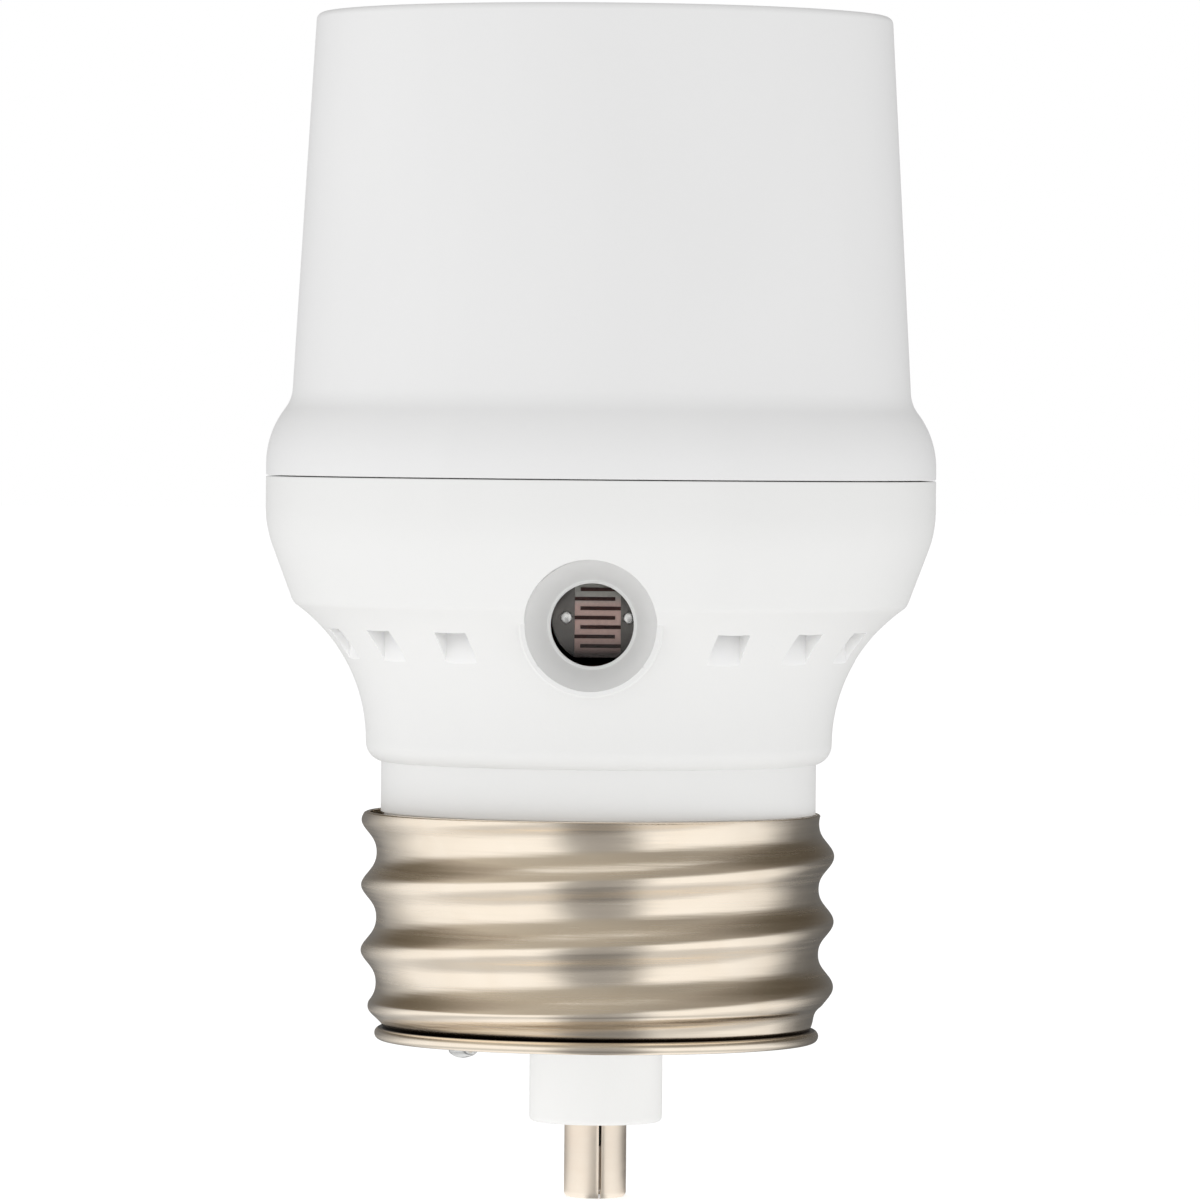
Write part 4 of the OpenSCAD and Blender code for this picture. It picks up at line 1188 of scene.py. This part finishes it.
FLOOR_HALF = 4000
FLOOR_PAINT = 0.88
FLOOR_GLOW = 0.41
FLOOR_NEAR = 60
DOME_R = 3000

# Gain of the overhead light on the left and on the right, and the heights where it begins and takes over
OVERHEAD_SIDE = 0.7
OVERHEAD_LEFT = 1.15
OVERHEAD_RIGHT = 0.7
OVERHEAD_START = 0.05
OVERHEAD_FULL = 0.5

# Strength of the world's light level with the object and from above
SKY_LOW = 0.955
SKY_HIGH = 0.70
SKY_TOP = 0.9

KEY_PLACE = (-640, -205, 120)
KEY_AIM = (0, 0, 33)
KEY_SIZE = 420
KEY_WATTS = 0.36


def seen_directly(nodes):
    """1 on rays from the camera, from a mirror or through glass, else 0."""
    path = nodes.node("ShaderNodeLightPath").outputs
    seen = nodes.math("MAXIMUM", path["Is Camera Ray"], path["Is Glossy Ray"])
    return nodes.math("MAXIMUM", seen, path["Is Transmission Ray"])


def around(nodes):
    """Brightness of the studio by direction, as polished metal shows it, in degrees from the front.

    It is dim about the camera and far behind.
    """
    by_degrees = ((-180, 0.14), (-150, 0.2), (-124, 0.5), (-98, 0.96), (-60, 1.05), (-22, 1.05), (-9, 0.4),
                  (4, 0.34), (17, 0.4), (30, 1.05), (65, 1.02), (95, 0.88), (110, 0.42), (125, 0.17),
                  (150, 0.12), (180, 0.14))
    place = nodes.parts(nodes.coords["Object"])
    front = nodes.math("MULTIPLY", place["Y"], -1.0)
    bearing = nodes.ranged(nodes.math("ARCTAN2", place["X"], front), -math.pi, math.pi)
    return nodes.greys(bearing, [((a + 180) / 360, grey) for a, grey in by_degrees])


def stage_material(name):
    """A material with an empty tree, and that tree's nodes."""
    material = bpy.data.materials.new(name)
    material.use_nodes = True
    material.node_tree.nodes.clear()
    return material, Nodes(material.node_tree)


def floor_material():
    """A pale lit floor that keeps the object's shadow, and in metal shows the studio and a painted shadow at
    the foot.

    It is clear from below, so that the underside can be looked at.
    """
    material, nodes = stage_material("floor")
    paint = nodes.node("ShaderNodeBsdfDiffuse")
    paint.inputs["Color"].default_value = (FLOOR_PAINT, FLOOR_PAINT, FLOOR_PAINT, 1)
    glow = nodes.node("ShaderNodeEmission")
    glow.inputs["Color"].default_value = (FLOOR_GLOW, FLOOR_GLOW, FLOOR_GLOW, 1)
    lit = nodes.node("ShaderNodeAddShader")
    nodes.link(paint.outputs["BSDF"], lit.inputs[0])
    nodes.link(glow.outputs["Emission"], lit.inputs[1])
    away = nodes.node("ShaderNodeVectorMath", operation="LENGTH")
    nodes.link(nodes.coords["Object"], away.inputs[0])
    near = nodes.ranged(away.outputs["Value"], 0.0, FLOOR_NEAR * MM)
    # Painted shadow: metal sees the floor darker in a ring round the object's foot
    painted_shadow_by_reach = ((0, 1.0), (12, 1.0), (16, 0.64), (20, 0.66), (27, 1.0))
    shade = nodes.greys(near, [(r / FLOOR_NEAR, grey) for r, grey in painted_shadow_by_reach])
    glossy = nodes.node("ShaderNodeLightPath").outputs["Is Glossy Ray"]
    above = nodes.either(glossy, lit.outputs["Shader"], nodes.glow(around(nodes), shade))
    below = nodes.node("ShaderNodeNewGeometry").outputs["Backfacing"]
    nodes.show(nodes.either(below, above, nodes.node("ShaderNodeBsdfTransparent").outputs["BSDF"]))
    return material


def studio_material():
    """What polished metal shows of the studio: by direction low down, dim and warm overhead and behind."""
    material, nodes = stage_material("studio_dome")
    unit = nodes.node("ShaderNodeVectorMath", operation="NORMALIZE")
    nodes.link(nodes.coords["Object"], unit.inputs[0])
    way = nodes.parts(unit.outputs["Vector"])
    overhead = nodes.ramp(nodes.ranged(way["Y"], -1.0, 1.0),
                          (0.0, (0.42, 0.40, 0.36, 1)), (0.4, (0.46, 0.43, 0.38, 1)),
                          (0.51, (0.33, 0.30, 0.26, 1)), (0.67, (0.15, 0.13, 0.10, 1)),
                          (0.85, (0.10, 0.083, 0.06, 1)))
    gain = nodes.ranged(way["X"], -OVERHEAD_SIDE, OVERHEAD_SIDE, OVERHEAD_LEFT, OVERHEAD_RIGHT)
    rise = nodes.ranged(way["Z"], OVERHEAD_START, OVERHEAD_FULL, how="SMOOTHSTEP")
    nodes.show(nodes.either(rise, nodes.glow(around(nodes)), nodes.glow(overhead, gain)))
    return material


def staged(name, points, faces, material):
    """A part of the stage, which isn't part of the object."""
    made = make(name, points, faces)
    made.data.materials.append(material)
    return made


def studio_dome(rows=24, steps=48):
    """The studio round the object, which only polished surfaces show."""
    points = []
    for k in range(rows + 1):
        t = 90 * k / rows
        for i in range(steps):
            a = 360 * i / steps
            points.append((DOME_R * cos(t) * cos(a), DOME_R * cos(t) * sin(a), DOME_R * sin(t)))
    made = staged("studio_dome", points, skin(rows + 1, steps), studio_material())
    made.visible_camera = False
    made.visible_diffuse = False
    made.visible_shadow = False
    made.visible_transmission = False


def studio_world():
    """Soft light from all round, a little less from above, and plain white wherever it is seen."""
    world = bpy.data.worlds.new("studio")
    bpy.context.scene.world = world
    world.use_nodes = True
    world.node_tree.nodes.clear()
    nodes = Nodes(world.node_tree)
    height = nodes.parts(nodes.coords["Generated"])["Z"]
    lit = nodes.node("ShaderNodeBackground")
    lit.inputs["Color"].default_value = WHITE
    nodes.link(nodes.ranged(height, 0.0, SKY_TOP, SKY_LOW, SKY_HIGH), lit.inputs["Strength"])
    white = nodes.node("ShaderNodeBackground")
    white.inputs["Color"].default_value = WHITE
    white.inputs["Strength"].default_value = 1.0
    sky = nodes.either(seen_directly(nodes), lit.outputs["Background"], white.outputs["Background"])
    nodes.show(sky, "ShaderNodeOutputWorld")


def key_light():
    """A large soft lamp on the left."""
    lamp = bpy.data.lights.new("key", "AREA")
    lamp.shape = "SQUARE"
    lamp.size = KEY_SIZE * MM
    lamp.energy = KEY_WATTS
    made = placed("key", lamp)
    made.location = Vector(KEY_PLACE) * MM
    made.rotation_mode = "QUATERNION"
    made.rotation_quaternion = (Vector(KEY_AIM) * MM - made.location).to_track_quat("-Z", "Y")
    made.visible_camera = False
    made.visible_glossy = False


staged("floor", [(-FLOOR_HALF, -FLOOR_HALF, 0), (FLOOR_HALF, -FLOOR_HALF, 0),
                 (FLOOR_HALF, FLOOR_HALF, 0), (-FLOOR_HALF, FLOOR_HALF, 0)], [(0, 1, 2, 3)], floor_material())
studio_dome()
studio_world()
key_light()

bpy.context.scene.view_settings.view_transform = "Standard"
